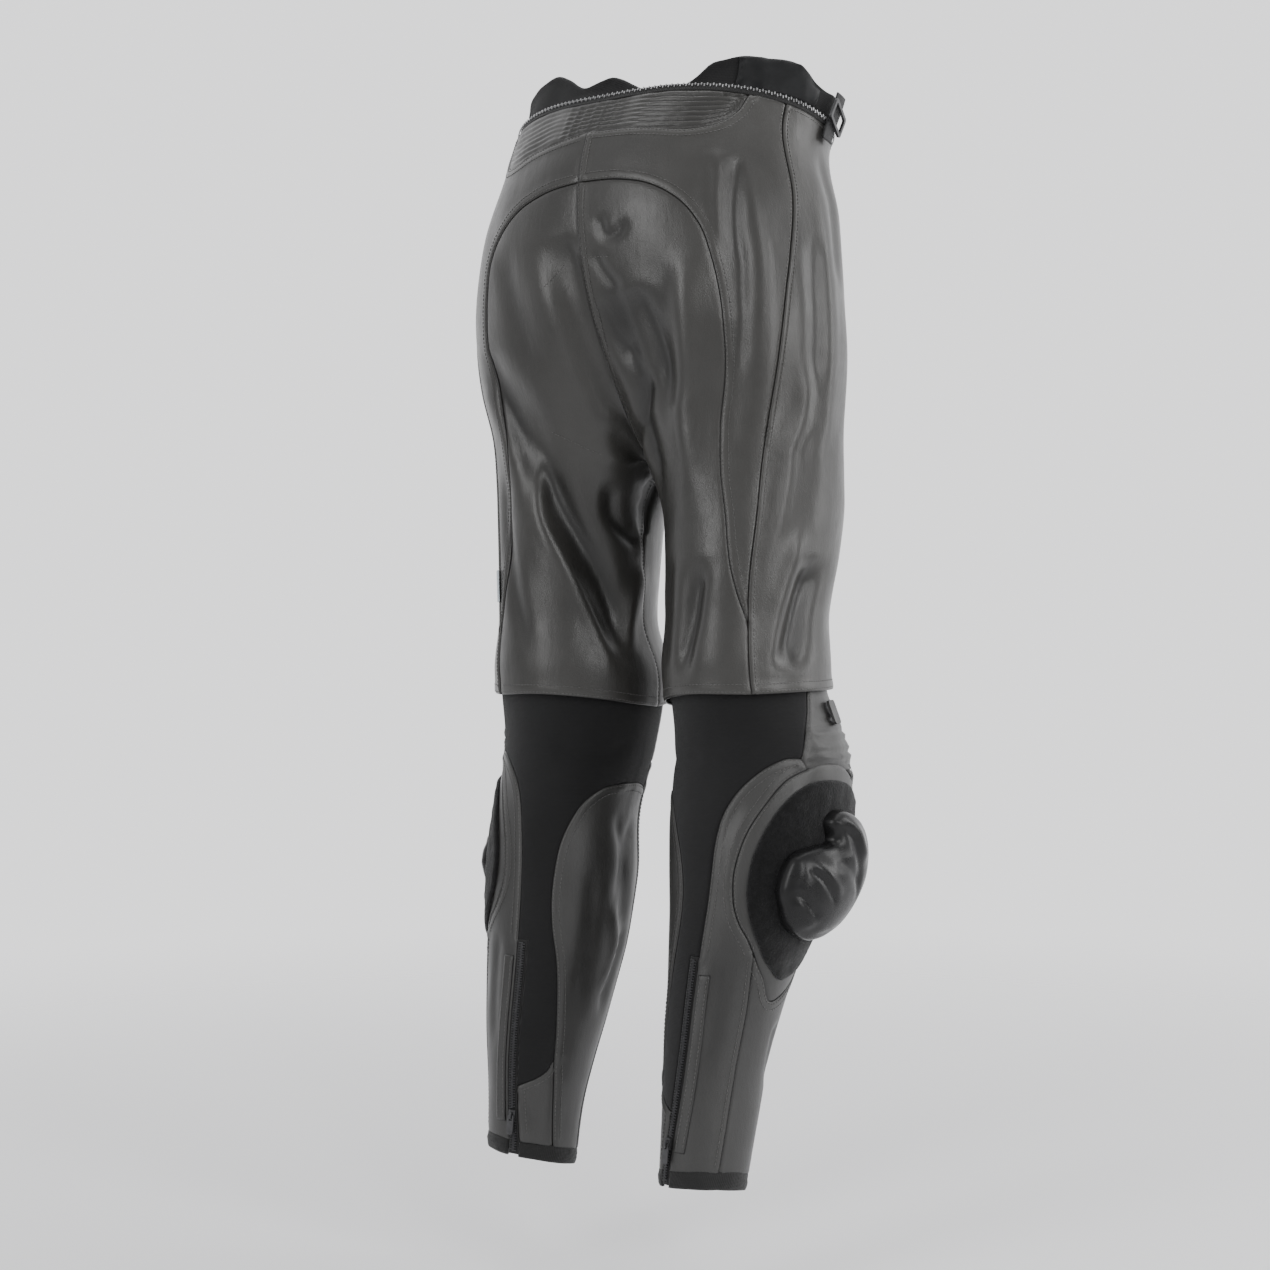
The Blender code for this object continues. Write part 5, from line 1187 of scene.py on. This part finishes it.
    # ribs of the accordion, uneven in depth, over the front and outer knee
    u, d = c.uv[:, 0], c.uv[:, 1]
    span = ease(0.07, 0.14, u) * (1 - ease(0.535, 0.572, u))
    sway = 0.0015 * np.sin(9.0 * u + seed)
    for k, (at_d, w, h) in enumerate(((0.5560, 0.0040, 0.0012), (0.5655, 0.0040, 0.0018), (0.5750, 0.0040, 0.0022),
                                      (0.5845, 0.0040, 0.0025), (0.5940, 0.0038, 0.0027), (0.6030, 0.0036, 0.0026))):
        x = (d - at_d - sway) / w
        front_only = 1.0 if k > 2 else 1 - ease(0.44, 0.52, u)
        c.height += span * h * np.exp(-x * x) * front_only
        c.height -= span * h * 0.45 * np.exp(-((d - at_d - sway - 0.0047) / 0.0016)**2) * front_only
    c.object(MAT_SHIN, LEATHER, "shin_leather", "knee_accordion_" + side, "gathered", "front_" + side)
    stitch(c, "stretch_front", 0.0030)
    c = cloth("knee_cup", [("frame_top", back(line["frame_top"]), "under"), ("frame_rear", line["frame_rear"], "under"),
                           ("frame_front", line["frame_front"], "under")], None, 0.0003)
    c.object(MAT_SHIN, LEATHER, "shin_leather", "knee_cup_" + side, "stretched", "shin_front_" + side)
    stitch(c, "frame_rear", 0.0022)
    c = cloth("shin_outer", [("knee_out", line["knee_out"], "top"), ("calf_arc", line["calf_arc"], "top"),
                             ("zip_out", line["zip_out"], "plain"), ("cuff", back(line["cuff_out"]), "lap"),
                             ("dart", back(line["dart"]), "welt"), ("frame_rear", back(line["frame_rear"]), "top")], None, 0.0004)
    c.object(MAT_SHIN, LEATHER, "shin_leather", "shin_outer_" + side, "hung", "knee_accordion_" + side)
    for x in (0.0019, 0.0076):
        stitch(c, "calf_arc", x)
        stitch(c, "frame_rear", x)
        stitch(c, "knee_out", x)
    stitch(c, "dart", 0.0050)
    c = cloth("shin_front", [("knee_low", back(line["knee_low"]), "top"), ("frame_front", back(line["frame_front"]), "top"),
                             ("dart", line["dart"], "under"), ("cuff", back(line["cuff_front"]), "lap"),
                             ("front_low", back(line["front_low"]), "top"), ("front_mid", back(line["front_mid"]), "top")],
              None, 0.0006)
    c.object(MAT_SHIN, LEATHER, "shin_leather", "shin_front_" + side, "hung", "knee_accordion_" + side)
    for key in ("knee_low", "frame_front", "front_low"):
        for x in (0.0019, 0.0076):
            stitch(c, key, x)
    c = cloth("inner_calf", [("front_low", moved(line["front_low"], 1.0), "under"), ("cuff", back(line["cuff_in"]), "lap"),
                             ("inner_low", back(line["inner_low"]), "top"), ("inner_rear", back(line["inner_rear"]), "top"),
                             ("inner_top", back(line["inner_top"]), "top")], None, 0.0007)
    c.object(MAT_SHIN, LEATHER, "shin_leather", "inner_calf_" + side, "hung", "stretch_calf_" + side)
    for key in ("inner_rear", "inner_low", "inner_top"):
        for x in (0.0019, 0.0076):
            stitch(c, key, x)
    c = cloth("lower_back_patch", [("patch_top", line["patch_top"], "top"), ("inner_low", line["inner_low"], "under"),
                                   ("cuff", back(line["cuff_rear"]), "lap"), ("zip_in", back(line["zip_in_low"]), "top")],
              None, 0.0004)
    c.object(MAT_SHIN, LEATHER, "shin_leather", "lower_back_patch_" + side, "hung", "stretch_calf_" + side)
    stitch(c, "patch_top", 0.0050)
    stitch(c, "zip_in", 0.0076)

    # calf zip: tape with a chain of teeth down its middle
    low_out, low_in = line["zip_out"][-1], line["zip_in_low"][-1]
    end_out = np.array([low_out, low_out + (0.002, CUFF_HEIGHT - 0.002)])
    end_in = np.array([low_in + (0.002, CUFF_HEIGHT - 0.002), low_in])
    tape = Cloth(piece_name("calf_zip_" + side), side, [
        ("top", line["zip_top"], "none"), ("in", line["zip_in_high"], "none"), ("in2", line["zip_in_low"], "none"),
        ("e1", back(end_in), "none"), ("e2", np.array([end_in[0], end_out[1]]), "none"),
        ("e3", back(end_out), "none"), ("out", back(line["zip_out"]), "none")], rows=(0.002,), step=0.003, lift=-0.0006)
    tape.object(MAT_TAPE, 0.0010, "zip", "calf_zip_" + side, "stretched", "stretch_calf_" + side)
    zo, zi = line["zip_out"], np.vstack([line["zip_in_high"], line["zip_in_low"][1:]])
    dd = np.linspace(0.7740, 0.9600, 260)
    uo, ui = np.interp(dd, zo[:, 1], zo[:, 0]), np.interp(dd, zi[:, 1], zi[:, 0])
    chain(side, np.stack([(uo + ui) / 2, dd], -1), None, 0.0000, 0.0023, 0.0060 / 2, 0.0011,
          MAT_BLACK_TEETH, "calf_zip_teeth_" + side, tape, skip=(ZIP_DROP - 0.006, ZIP_DROP + 0.006))

    # placket along the zip
    band, w_at = PLACKET_WIDTH, np.interp(zo[:, 1], *GIRTH[side])
    outer = np.stack([zo[:, 0] - 0.0030 / w_at, zo[:, 1]], -1)[4:-4]
    inner = np.stack([zo[:, 0] - (0.0030 + band) / w_at, zo[:, 1]], -1)[4:-4]
    c = Cloth(piece_name("zip_placket_" + side), side, [
        ("outer", outer, "plain"), ("low", np.array([outer[-1], inner[-1]]), "plain"), ("inner", back(inner), "plain"),
        ("top", np.array([inner[0], outer[0]]), "plain")], rows=(0.0012, 0.003), step=0.0035, lift=0.0004)
    c.height += creases(side, c.uv[:, 0], c.uv[:, 1])
    c.object(MAT_SHIN, 0.0011, "shin_leather", "zip_placket_" + side, "laid", "shin_outer_" + side, offset=1.0)
    c.lift += 0.0011
    stitch(c, "inner", 0.0018)
    stitch(c, "outer", 0.0018)

    # cuff binding
    top = [line["cuff_rear"], line["cuff_in"], moved(line["cuff_front"], 1.0), moved(line["cuff_out"], 1.0)]
    low = [p + (0.0, CUFF_HEIGHT) for p in top]
    first, last = top[0][0], top[-1][-1]
    edges = [("top", np.vstack([top[0]] + [t[1:] for t in top[1:]]), "none"),
             ("end1", np.array([last, last + (0.0, CUFF_HEIGHT)]), "none"),
             ("low", back(np.vstack([low[0]] + [t[1:] for t in low[1:]])), "none"),
             ("end2", np.array([first + (0.0, CUFF_HEIGHT), first]), "none")]
    c = Cloth(piece_name("cuff_" + side), side, edges, rows=(0.0020,), step=0.0026, lift=0.0004, rim=0.0003)
    f = c.f
    t = np.minimum(line_distance(c.flat(c.loop)[[0, -1]], f), 1.0)
    top_d = c.far(c.flat(c.loop), f)
    c.height += 0.0012 * (np.clip(top_d / 0.0075, 0, 1)**0.5) - 0.0008
    c.height += 0.00035 * np.sin(f[:, 0] * 2 * math.pi / 0.0031) * np.clip(top_d / 0.003, 0, 1)
    c.height += ripple(c.base, 0.0012, 0.020, seed)
    c.object(MAT_CUFF, 0.0022, "band", "cuff_" + side, "stretched", "shin_front_" + side)

    # hook-and-loop patch and the pad on it
    cup = PIECES["knee_cup_" + side]
    patch_loop = loop_trace(side, knee_round(side, KNEE_PATCH), seam_step)
    closed = np.vstack([patch_loop, patch_loop[:1]])
    wob = 0.00035
    c = Cloth(piece_name("knee_patch_" + side), side, [("edge", closed, "none")], rows=(0.0012, 0.0028), step=FINE * 0.8,
              lift=0.0004)
    d = c.far(c.flat(c.loop), c.f)
    rise = PATCH_WALL * (1 - (1 - np.clip(d / 0.0030, 0, 1))**2)
    c.height += np.maximum(rise, 0.0010) + ripple(c.base, 0.0007, 0.012, seed) + ripple(c.base, wob, 0.0035, seed)
    c.object(MAT_LOOP, None, "loop", "knee_patch_" + side, "laid", "knee_cup_" + side, sheet=False)
    thicken(c, PATCH_WALL)
    declare(c.shown, c.flat(c.loop), "laid")
    pad_loop = loop_trace(side, tuple((u - KNEE_CARRY[side], d) for u, d in KNEE_PAD), seam_step * 0.7)
    closed = np.vstack([pad_loop, pad_loop[:1]])
    c = Cloth(piece_name("knee_slider_" + side), side, [("edge", closed, "none")], rows=(0.0008, 0.002, 0.004),
              step=0.0024, lift=0.0004 + PATCH_WALL + 0.0003)
    d = c.far(c.flat(c.loop), c.f)
    t = np.clip(d / 0.026, 0, 1)
    dome = PAD_EDGE * np.clip(d / 0.0022, 0, 1)**0.5 + PAD_CROWN * np.sqrt(1 - (1 - t)**2)
    f = c.f

    def mark(pts, w, h, fade=0.25):
        line2 = c.flat(np.array(pts, float))
        dist, s = along(line2, f)
        return h * np.exp(-(dist / w)**2) * ease(0, fade, s) * (1 - ease(1 - fade, 1, s))

    dome += mark(((0.572, 0.694), (0.540, 0.704), (0.498, 0.724)), 0.0022, -0.0024)
    dome += mark(((0.566, 0.690), (0.534, 0.699), (0.492, 0.718)), 0.0036, 0.0016)
    dome += mark(((0.590, 0.712), (0.560, 0.722), (0.530, 0.734)), 0.0020, -0.0022)
    dome += mark(((0.594, 0.720), (0.565, 0.730), (0.535, 0.742)), 0.0050, 0.0018)
    dome += mark(((0.500, 0.656), (0.476, 0.672), (0.452, 0.700), (0.440, 0.726)), 0.0030, -0.0022)
    dome += mark(((0.488, 0.654), (0.462, 0.668), (0.436, 0.694)), 0.0045, 0.0022)
    dome += mark(((0.520, 0.690), (0.480, 0.696), (0.440, 0.712)), 0.0050, -0.0016)
    dome += mark(((0.570, 0.740), (0.520, 0.748), (0.450, 0.742)), 0.0030, -0.0010)
    c.height += dome
    c.object(MAT_PAD, None, "pad", "knee_slider_" + side, sheet=False)
    thicken(c, None)
    return line


def thicken(c, wall):
    """Closes a laid piece with a flat underside at its lift."""
    o = c.shown
    under = c.base + c.normal * c.lift
    top = c.verts()
    n = len(top)
    k = len(c.loop)
    f = c.faces
    # edges used once run round the rim
    e = np.vstack([f[:, [0, 1]], f[:, [1, 2]], f[:, [2, 0]]])
    key = np.sort(e, axis=1)
    _, first, count = np.unique(key, axis=0, return_index=True, return_counts=True)
    rim = e[first[count == 1]]
    faces = np.vstack([f, f[:, ::-1] + n, np.stack([rim[:, 1], rim[:, 0], rim[:, 0] + n], -1),
                       np.stack([rim[:, 1], rim[:, 0] + n, rim[:, 1] + n], -1)])
    new = bpy.data.meshes.new(o.name)
    mats = [m for m in o.data.materials]
    verts = np.vstack([top, under])
    new.vertices.add(len(verts))
    new.vertices.foreach_set("co", verts.astype(np.float32).ravel())
    new.loops.add(faces.size)
    new.loops.foreach_set("vertex_index", faces.astype(np.int32).ravel())
    new.polygons.add(len(faces))
    new.polygons.foreach_set("loop_start", np.arange(0, faces.size, 3, dtype=np.int32))
    new.polygons.foreach_set("loop_total", np.full(len(faces), 3, np.int32))
    new.update(calc_edges=True)
    new.validate()
    new.polygons.foreach_set("use_smooth", np.ones(len(new.polygons), bool))
    uvl = new.uv_layers.new(name="cut")
    ff = np.vstack([c.f, c.f])
    idx = np.empty(len(new.loops), np.int64)
    new.loops.foreach_get("vertex_index", idx)
    uvl.data.foreach_set("uv", ff[idx].astype(np.float32).ravel())
    for m in mats:
        new.materials.append(m)
    o.data = new


def loop_trace(side, rows, step, part=None):
    return trace(side, rows, step, part, closed=True)[:-1]


def box_template(w, l, h, r=0.25):
    """A small tooth: a chamfered block, w across, l along, h out."""
    x, y, z = w / 2, l / 2, h
    c = min(l, h) * r
    verts = [(-x, -y, 0), (x, -y, 0), (x, y, 0), (-x, y, 0), (-x, -y, z - c), (x, -y, z - c), (x, y, z - c), (-x, y, z - c),
             (-x + c, -y + c, z), (x - c, -y + c, z), (x - c, y - c, z), (-x + c, y - c, z)]
    faces = []
    for a in (0, 4):
        for k in range(4):
            j = (k + 1) % 4
            faces += [(a + k, a + j, a + 4 + j), (a + k, a + 4 + j, a + 4 + k)]
    faces += [(8, 9, 10), (8, 10, 11), (0, 2, 1), (0, 3, 2)]
    return np.array(verts, float), np.array(faces)


def chain(side, uv, part, lift, pitch, half, tall, material, name, tape, skip=None, fill=0.42):
    """Zip teeth along a line: alternate teeth reach over the middle from each side."""
    p = point(side, uv[:, 0], uv[:, 1], 0, part)
    _, _, nrm, _ = slopes(side, uv[:, 0], uv[:, 1], part)
    p = p + nrm * lift
    run = np.concatenate([[0], np.cumsum(np.linalg.norm(np.diff(p, axis=0), axis=1))])
    at = np.arange(0.001, run[-1], pitch / 2)
    if skip is not None:
        dr = np.interp(at, run, uv[:, 1])
        at = at[(dr < skip[0]) | (dr > skip[1])]
    c = np.stack([np.interp(at, run, p[:, i]) for i in range(3)], -1)
    e = np.stack([np.interp(at + 0.0008, run, p[:, i]) for i in range(3)], -1)
    s = np.stack([np.interp(at - 0.0008, run, p[:, i]) for i in range(3)], -1)
    n = np.stack([np.interp(at, run, nrm[:, i]) for i in range(3)], -1)
    t = (e - s) / np.linalg.norm(e - s, axis=1, keepdims=True)
    n -= t * (n * t).sum(1, keepdims=True)
    n /= np.linalg.norm(n, axis=1, keepdims=True)
    w = np.cross(t, n)
    swap = np.where(np.arange(len(at)) % 2 == 0, 1.0, -1.0)[:, None] * half * 0.32
    bv, bf = box_template(half * 1.35, pitch * fill, tall)
    v = (c + w * swap)[:, None] + bv[None, :, :1] * w[:, None] + bv[None, :, 1:2] * t[:, None] + bv[None, :, 2:] * n[:, None]
    f = bf[None] + (np.arange(len(at)) * len(bv))[:, None, None]
    o = make_mesh(name, v.reshape(-1, 3), f.reshape(-1, 3), material)
    o.data.polygons.foreach_set("use_smooth", np.zeros(len(o.data.polygons), bool))
    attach(o, BODY)
    return o


LINES = {s: build_leg(s) for s in ("R", "L")}


def build_top():
    mirror = lambda p: np.stack([2.0 - p[:, 0], p[:, 1]], -1)
    r, l = LINES["R"], LINES["L"]
    c = Cloth(piece_name("shirred_back"), "RL", [
        ("wr", r["w_shirr"], "plain"), ("wl", back(mirror(l["w_shirr"])), "plain"), ("sl", mirror(l["shirr"]), "under"),
        ("sr", back(r["shirr"]), "under")], "ring", step=0.0013, rows=(0.0010, 0.0020))
    u, d = c.uv[:, 0], c.uv[:, 1]
    w = np.where(u <= 1, waist_drop("R", np.minimum(u, 1)), waist_drop("L", np.minimum(2 - u, 1)))
    rows = np.array(((SHIRR_END_U, float(waist_drop("R", SHIRR_END_U))),) + SHIRR_LOW)
    a = np.abs(u - 1.0)
    low = np.interp(1 - a, rows[:, 0], rows[:, 1])
    t = np.clip((d - w) / np.maximum(low - w, 0.002), 0, 1)
    x = a * 0.46
    full = ease(0.030, 0.055, x) * (1 - ease(0.130, 0.146, x))
    full = full * np.where(u > 1, 0.60, 1.0)
    env = np.clip(np.minimum(t, 1 - t) / 0.08, 0, 1)
    fan = t + 0.010 * np.sin(x * 120.0 + t * 5.0)
    wave = 0.5 - 0.5 * np.cos(2 * math.pi * 7.5 * fan)
    # painted shade in the troughs of the shirring
    c.hollow = env * full * (1 - wave)**3
    c.height += env * full * (0.0028 * wave**0.7 - 0.0019) * (0.85 + 0.15 * np.sin(x * 70 + 3 * t))
    mid = 1 - ease(0.020, 0.040, x)
    row = 0.5 - 0.5 * np.cos(2 * math.pi * 7.5 * t)
    pinch = 0.5 - 0.5 * np.cos(2 * math.pi * (x * np.sign(u - 1) / 0.0095 + 0.5))
    # and painted shade in the pinched rows down the middle
    c.hollow = np.maximum(c.hollow, env * mid * (1 - row * (0.35 + 0.65 * pinch))**3)
    c.height += env * mid * (0.0020 * row * (0.45 + 0.55 * pinch) - 0.0013)
    c.height += ripple(c.base, 0.0006, 0.018, 5.0)
    c.object(MAT_LEATHER, LEATHER, "leather", "shirred_back", "gathered", "waistband_inner")

    us = np.linspace(0.0, 2.0, 321)
    ds = np.where(us <= 1, waist_drop("R", np.minimum(us, 1)), waist_drop("L", 2 - np.maximum(us, 1)))
    seam = lambda u: np.interp(u, us, ds)

    def ring(name, low, high, lift, u0, u1, step=0.0030, rows=(0.0015,), kinds=("none", "none")):
        n = int((u1 - u0) * 0.46 / step)
        u = np.linspace(u0, u1, n + 1)
        top, bot = np.stack([u, seam(u) - high(u)], -1), np.stack([u, seam(u) - low(u)], -1)
        k = 4
        return Cloth(piece_name(name), "RL", [("top", top, kinds[0]), ("e1", np.linspace(top[-1], bot[-1], k + 1), "none"),
                                              ("low", back(bot), kinds[1]), ("e0", np.linspace(bot[0], top[0], k + 1), "none")],
                     "ring", step=step, rows=rows, lift=lift)

    level = lambda v: (lambda u: np.full_like(u, v))
    tape = ring("waist_zip_tape", level(0.0), level(ZIP_TAPE_RISE), -0.0002, 0.012, 1.988)
    tape.height += ripple(tape.base, 0.0006, 0.03, 7.0)
    tape.object(MAT_TAPE, 0.0010, "zip", "waist_zip_tape", "laid", "waistband_inner")
    u = np.linspace(0.014, 1.986, 900)
    chain("RL", np.stack([u, seam(u) - ZIP_TAPE_RISE + 0.0020], -1), "ring", 0.0001, 0.0054, 0.0020, 0.0012,
          MAT_TEETH, "waist_zip_teeth", tape, fill=0.20)
    top = np.array(BAND_TOP)
    rise = lambda u: smooth(top[:, 0], top[:, 1], u)
    band = ring("waistband_inner", level(-0.014), rise, -BAND_INSET, 0.020, 1.980, FINE, (0.0016, 0.0034), ("welt", "plain"))
    band.height += ripple(band.base, 0.0016, 0.030, 2.0)
    band.object(MAT_BAND, BAND, "band", "waistband_inner", "hung", "front_R")
    flap = FLAP
    loop = np.array([(q, float(seam(q)) - h) for q, h in flap])
    pts = []
    for i in range(len(loop)):
        a, b = loop[i], loop[(i + 1) % len(loop)]
        m = max(2, int(np.linalg.norm((b - a) * (0.46, 1.0)) / 0.003))
        pts.append(a + (b - a) * (np.arange(m) / m)[:, None])
    pts = np.vstack(pts + [loop[:1]])
    c = Cloth(piece_name("adjuster_flap"), "RL", [("edge", pts, "plain")], "ring", step=0.003, rows=(0.0012, 0.0028),
              lift=-BAND_INSET + 0.0006)
    c.height += band.at(c.uv) + BAND_INSET
    d = line_distance(c.flat(pts), c.f)
    c.height += 0.0016 * ease(0, 0.006, d) + ripple(c.base, 0.0018, 0.016, 4.0)
    seam_x = line_distance(c.flat(np.array([(0.737, float(seam(0.737)) - 0.012), (0.739, float(seam(0.739)) - 0.034)])), c.f)
    c.height -= 0.0006 * np.exp(-(seam_x / 0.0012)**2)
    c.object(MAT_SATIN, 0.0011, "satin", "adjuster_flap", "laid", "waistband_inner", offset=1.0)
    u_mid, half_w = 0.455, 0.0115 / 0.46
    us4 = np.linspace(u_mid - half_w, u_mid + half_w, 9)
    d_top, d_low = float(seam(u_mid)) - 0.032, float(seam(u_mid)) + 0.014
    col = np.linspace(d_top, d_low, 21)
    c = Cloth(piece_name("adjuster_strap"), "RL", [
        ("top", np.stack([us4, np.full(9, d_top)], -1), "none"), ("r", np.stack([np.full(21, us4[-1]), col], -1), "none"),
        ("low", np.stack([us4[::-1], np.full(9, d_low)], -1), "none"), ("l", np.stack([np.full(21, us4[0]), col[::-1]], -1), "none")],
        "ring", step=0.0024, rows=(0.0014,), lift=0.0048)
    c.object(MAT_WEB, 0.0013, "band", "adjuster_strap", "laid", "waistband_inner")
    # fly placket on the left front
    front = PIECES["front_L"]
    w = 0.036 / 0.46
    rows = ((0.024, 0.052), (w * 0.6, 0.050), (w, 0.052), (w, 0.110), (w, 0.165), (w * 0.75, 0.186), (0.036, 0.196),
            (0.024, 0.188), (0.024, 0.120))
    lp = loop_trace("L", rows, FINE * 0.8)
    c = Cloth(piece_name("fly_placket"), "L", [("edge", np.vstack([lp, lp[:1]]), "plain")], "thigh", step=FINE * 0.8,
              rows=(0.001, 0.0026), lift=0.0005)
    c.height += creases("L", c.uv[:, 0], c.uv[:, 1]) + ripple(c.base, *front.ripples)
    c.object(MAT_LEATHER, 0.0014, "leather", "fly_placket", "laid", "front_L", offset=1.0)
    c.lift += 0.0014
    stitch(c, "edge", 0.0030, store=STITCH["L"])


build_top()


def small_slab(name, material, node, rests, bend=0.0, seg=5):
    """A small flat piece of cloth in the place of its solid, rounded."""
    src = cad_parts[node]
    v = np.array([tuple(src.matrix_world @ x.co) for x in src.data.vertices])
    mesh = bpy.data.meshes.new(name)
    bm = bmesh.new()
    bm.from_mesh(src.data)
    bmesh.ops.remove_doubles(bm, verts=bm.verts, dist=1e-6)
    bmesh.ops.dissolve_limit(bm, angle_limit=0.02, verts=bm.verts, edges=bm.edges)
    bmesh.ops.triangulate(bm, faces=bm.faces)
    bmesh.ops.subdivide_edges(bm, edges=bm.edges, cuts=2, use_grid_fill=True)
    bm.to_mesh(mesh)
    bm.free()
    mesh.materials.append(material)
    o = bpy.data.objects.new(name, mesh)
    bpy.context.scene.collection.objects.link(o)
    o.matrix_world = src.matrix_world.copy()
    mod = o.modifiers.new("round", "BEVEL")
    mod.width = 0.0003
    mod.segments = 2
    mod.limit_method = "ANGLE"
    uvl = mesh.uv_layers.new(name="cut")
    idx = np.empty(len(mesh.loops), np.int64)
    mesh.loops.foreach_get("vertex_index", idx)
    co = np.array([x.co[:] for x in mesh.vertices])
    uvl.data.foreach_set("uv", co[idx][:, [0, 2]].astype(np.float32).ravel())
    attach(o, BODY)
    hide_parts(node)
    return o


label = small_slab("side_label_shell", MAT_LABEL, "side_label", "front_L")
for s in "RL":
    o = small_slab("knee_tab_%s_shell" % s, MAT_SHIN, "knee_tab_" + s, "front_" + s)

for s in "RL":
    v = np.vstack([a for a, _ in STITCH[s]])
    f, at = [], 0
    for a, b in STITCH[s]:
        f.append(b + at)
        at += len(a)
    o = make_mesh("stitching_" + s, v, np.vstack(f), MAT_THREAD)
    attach(o, BODY)

# hard trim that keeps its solid, with its own finish
for node, mat in (("adjuster_buckle", MAT_DARK_METAL), ("fly_snap", MAT_DARK_METAL),
                  ("calf_zip_slider_R", MAT_DARK_METAL), ("calf_zip_slider_L", MAT_DARK_METAL),
                  ("calf_zip_pull_R", MAT_DARK_METAL), ("calf_zip_pull_L", MAT_DARK_METAL)):
    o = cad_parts[node]
    for slot_ in o.material_slots:
        slot_.material = mat
    if not o.material_slots:
        o.data.materials.append(mat)
    bev = o.modifiers.new("soft_edges", "BEVEL")
    bev.width = 0.00025
    bev.segments = 2
    bev.limit_method = "ANGLE"

# ----------------------------------------------------------- floor and light
bm = bmesh.new()
bmesh.ops.create_circle(bm, cap_ends=True, segments=96, radius=2.6)
mesh = bpy.data.meshes.new("floor")
bm.to_mesh(mesh)
bm.free()
floor = bpy.data.objects.new("floor", mesh)
floor.location = (0, 0, -1.075)
bpy.context.scene.collection.objects.link(floor)
fm = bpy.data.materials.new("floor")
fm.use_nodes = True
nt = fm.node_tree
pb = nt.nodes["Principled BSDF"]
pb.inputs["Base Color"].default_value = (0.80, 0.80, 0.81, 1)
pb.inputs["Roughness"].default_value = 0.9
tc = nt.nodes.new("ShaderNodeTexCoord")
far = nt.nodes.new("ShaderNodeVectorMath")
far.operation = "LENGTH"
nt.links.new(tc.outputs["Object"], far.inputs[0])
fade = nt.nodes.new("ShaderNodeMapRange")
fade.interpolation_type = "SMOOTHSTEP"
fade.inputs["From Min"].default_value = 0.35
fade.inputs["From Max"].default_value = 2.4
fade.inputs["To Min"].default_value = 1.0
fade.inputs["To Max"].default_value = 0.0
nt.links.new(far.outputs["Value"], fade.inputs["Value"])
nt.links.new(fade.outputs["Result"], pb.inputs["Alpha"])
mesh.materials.append(fm)

world = bpy.data.worlds.new("studio")
bpy.context.scene.world = world
world.use_nodes = True
bg = world.node_tree.nodes["Background"]
bg.inputs["Color"].default_value = (0.985, 0.985, 1.0, 1)
wt = world.node_tree
wc = wt.nodes.new("ShaderNodeTexCoord")
dot = wt.nodes.new("ShaderNodeVectorMath")
dot.operation = "DOT_PRODUCT"
dot.inputs[1].default_value = tuple(AHEAD)
wt.links.new(wc.outputs["Generated"], dot.inputs[0])
grade = wt.nodes.new("ShaderNodeMapRange")
grade.interpolation_type = "SMOOTHSTEP"
grade.inputs["From Min"].default_value = -0.2
grade.inputs["From Max"].default_value = 0.85
grade.inputs["To Min"].default_value = 0.62
grade.inputs["To Max"].default_value = 1.62
wt.links.new(dot.outputs["Value"], grade.inputs["Value"])
wt.links.new(grade.outputs["Result"], bg.inputs["Strength"])


def area_light(name, place, target, size, power, colour=(1, 1, 1)):
    d = bpy.data.lights.new(name, "AREA")
    d.shape = "RECTANGLE"
    d.size, d.size_y = size
    d.energy = power
    d.color = colour
    o = bpy.data.objects.new(name, d)
    bpy.context.scene.collection.objects.link(o)
    o.location = place
    o.rotation_euler = (Vector(target) - Vector(place)).to_track_quat("-Z", "Y").to_euler()
    return o


mid = Vector((0, 0, -0.45))
area_light("key_left", mid - AHEAD * 1.5 - RIGHT * 1.5 + Vector((0, 0, 0.7)), mid, (0.6, 1.8), 20)
area_light("key_right", mid - AHEAD * 1.5 + RIGHT * 1.7 + Vector((0, 0, 0.5)), mid, (0.45, 1.8), 22)
area_light("back_right", mid - AHEAD * 1.9 + RIGHT * 0.75 + Vector((0, 0, 0.9)), mid + Vector((0, 0, 0.25)), (0.35, 1.4), 12)
area_light("side_right", mid + AHEAD * 0.1 + RIGHT * 1.9 + Vector((0, 0, 0.6)), mid, (0.5, 1.8), 14)
area_light("top", mid + Vector((0, 0, 1.9)), mid, (1.4, 1.4), 10)
area_light("rim", mid + AHEAD * 1.6 + Vector((0, 0, 0.6)), mid, (1.2, 1.8), 6)

print("sheets", json.dumps(SHEETS))
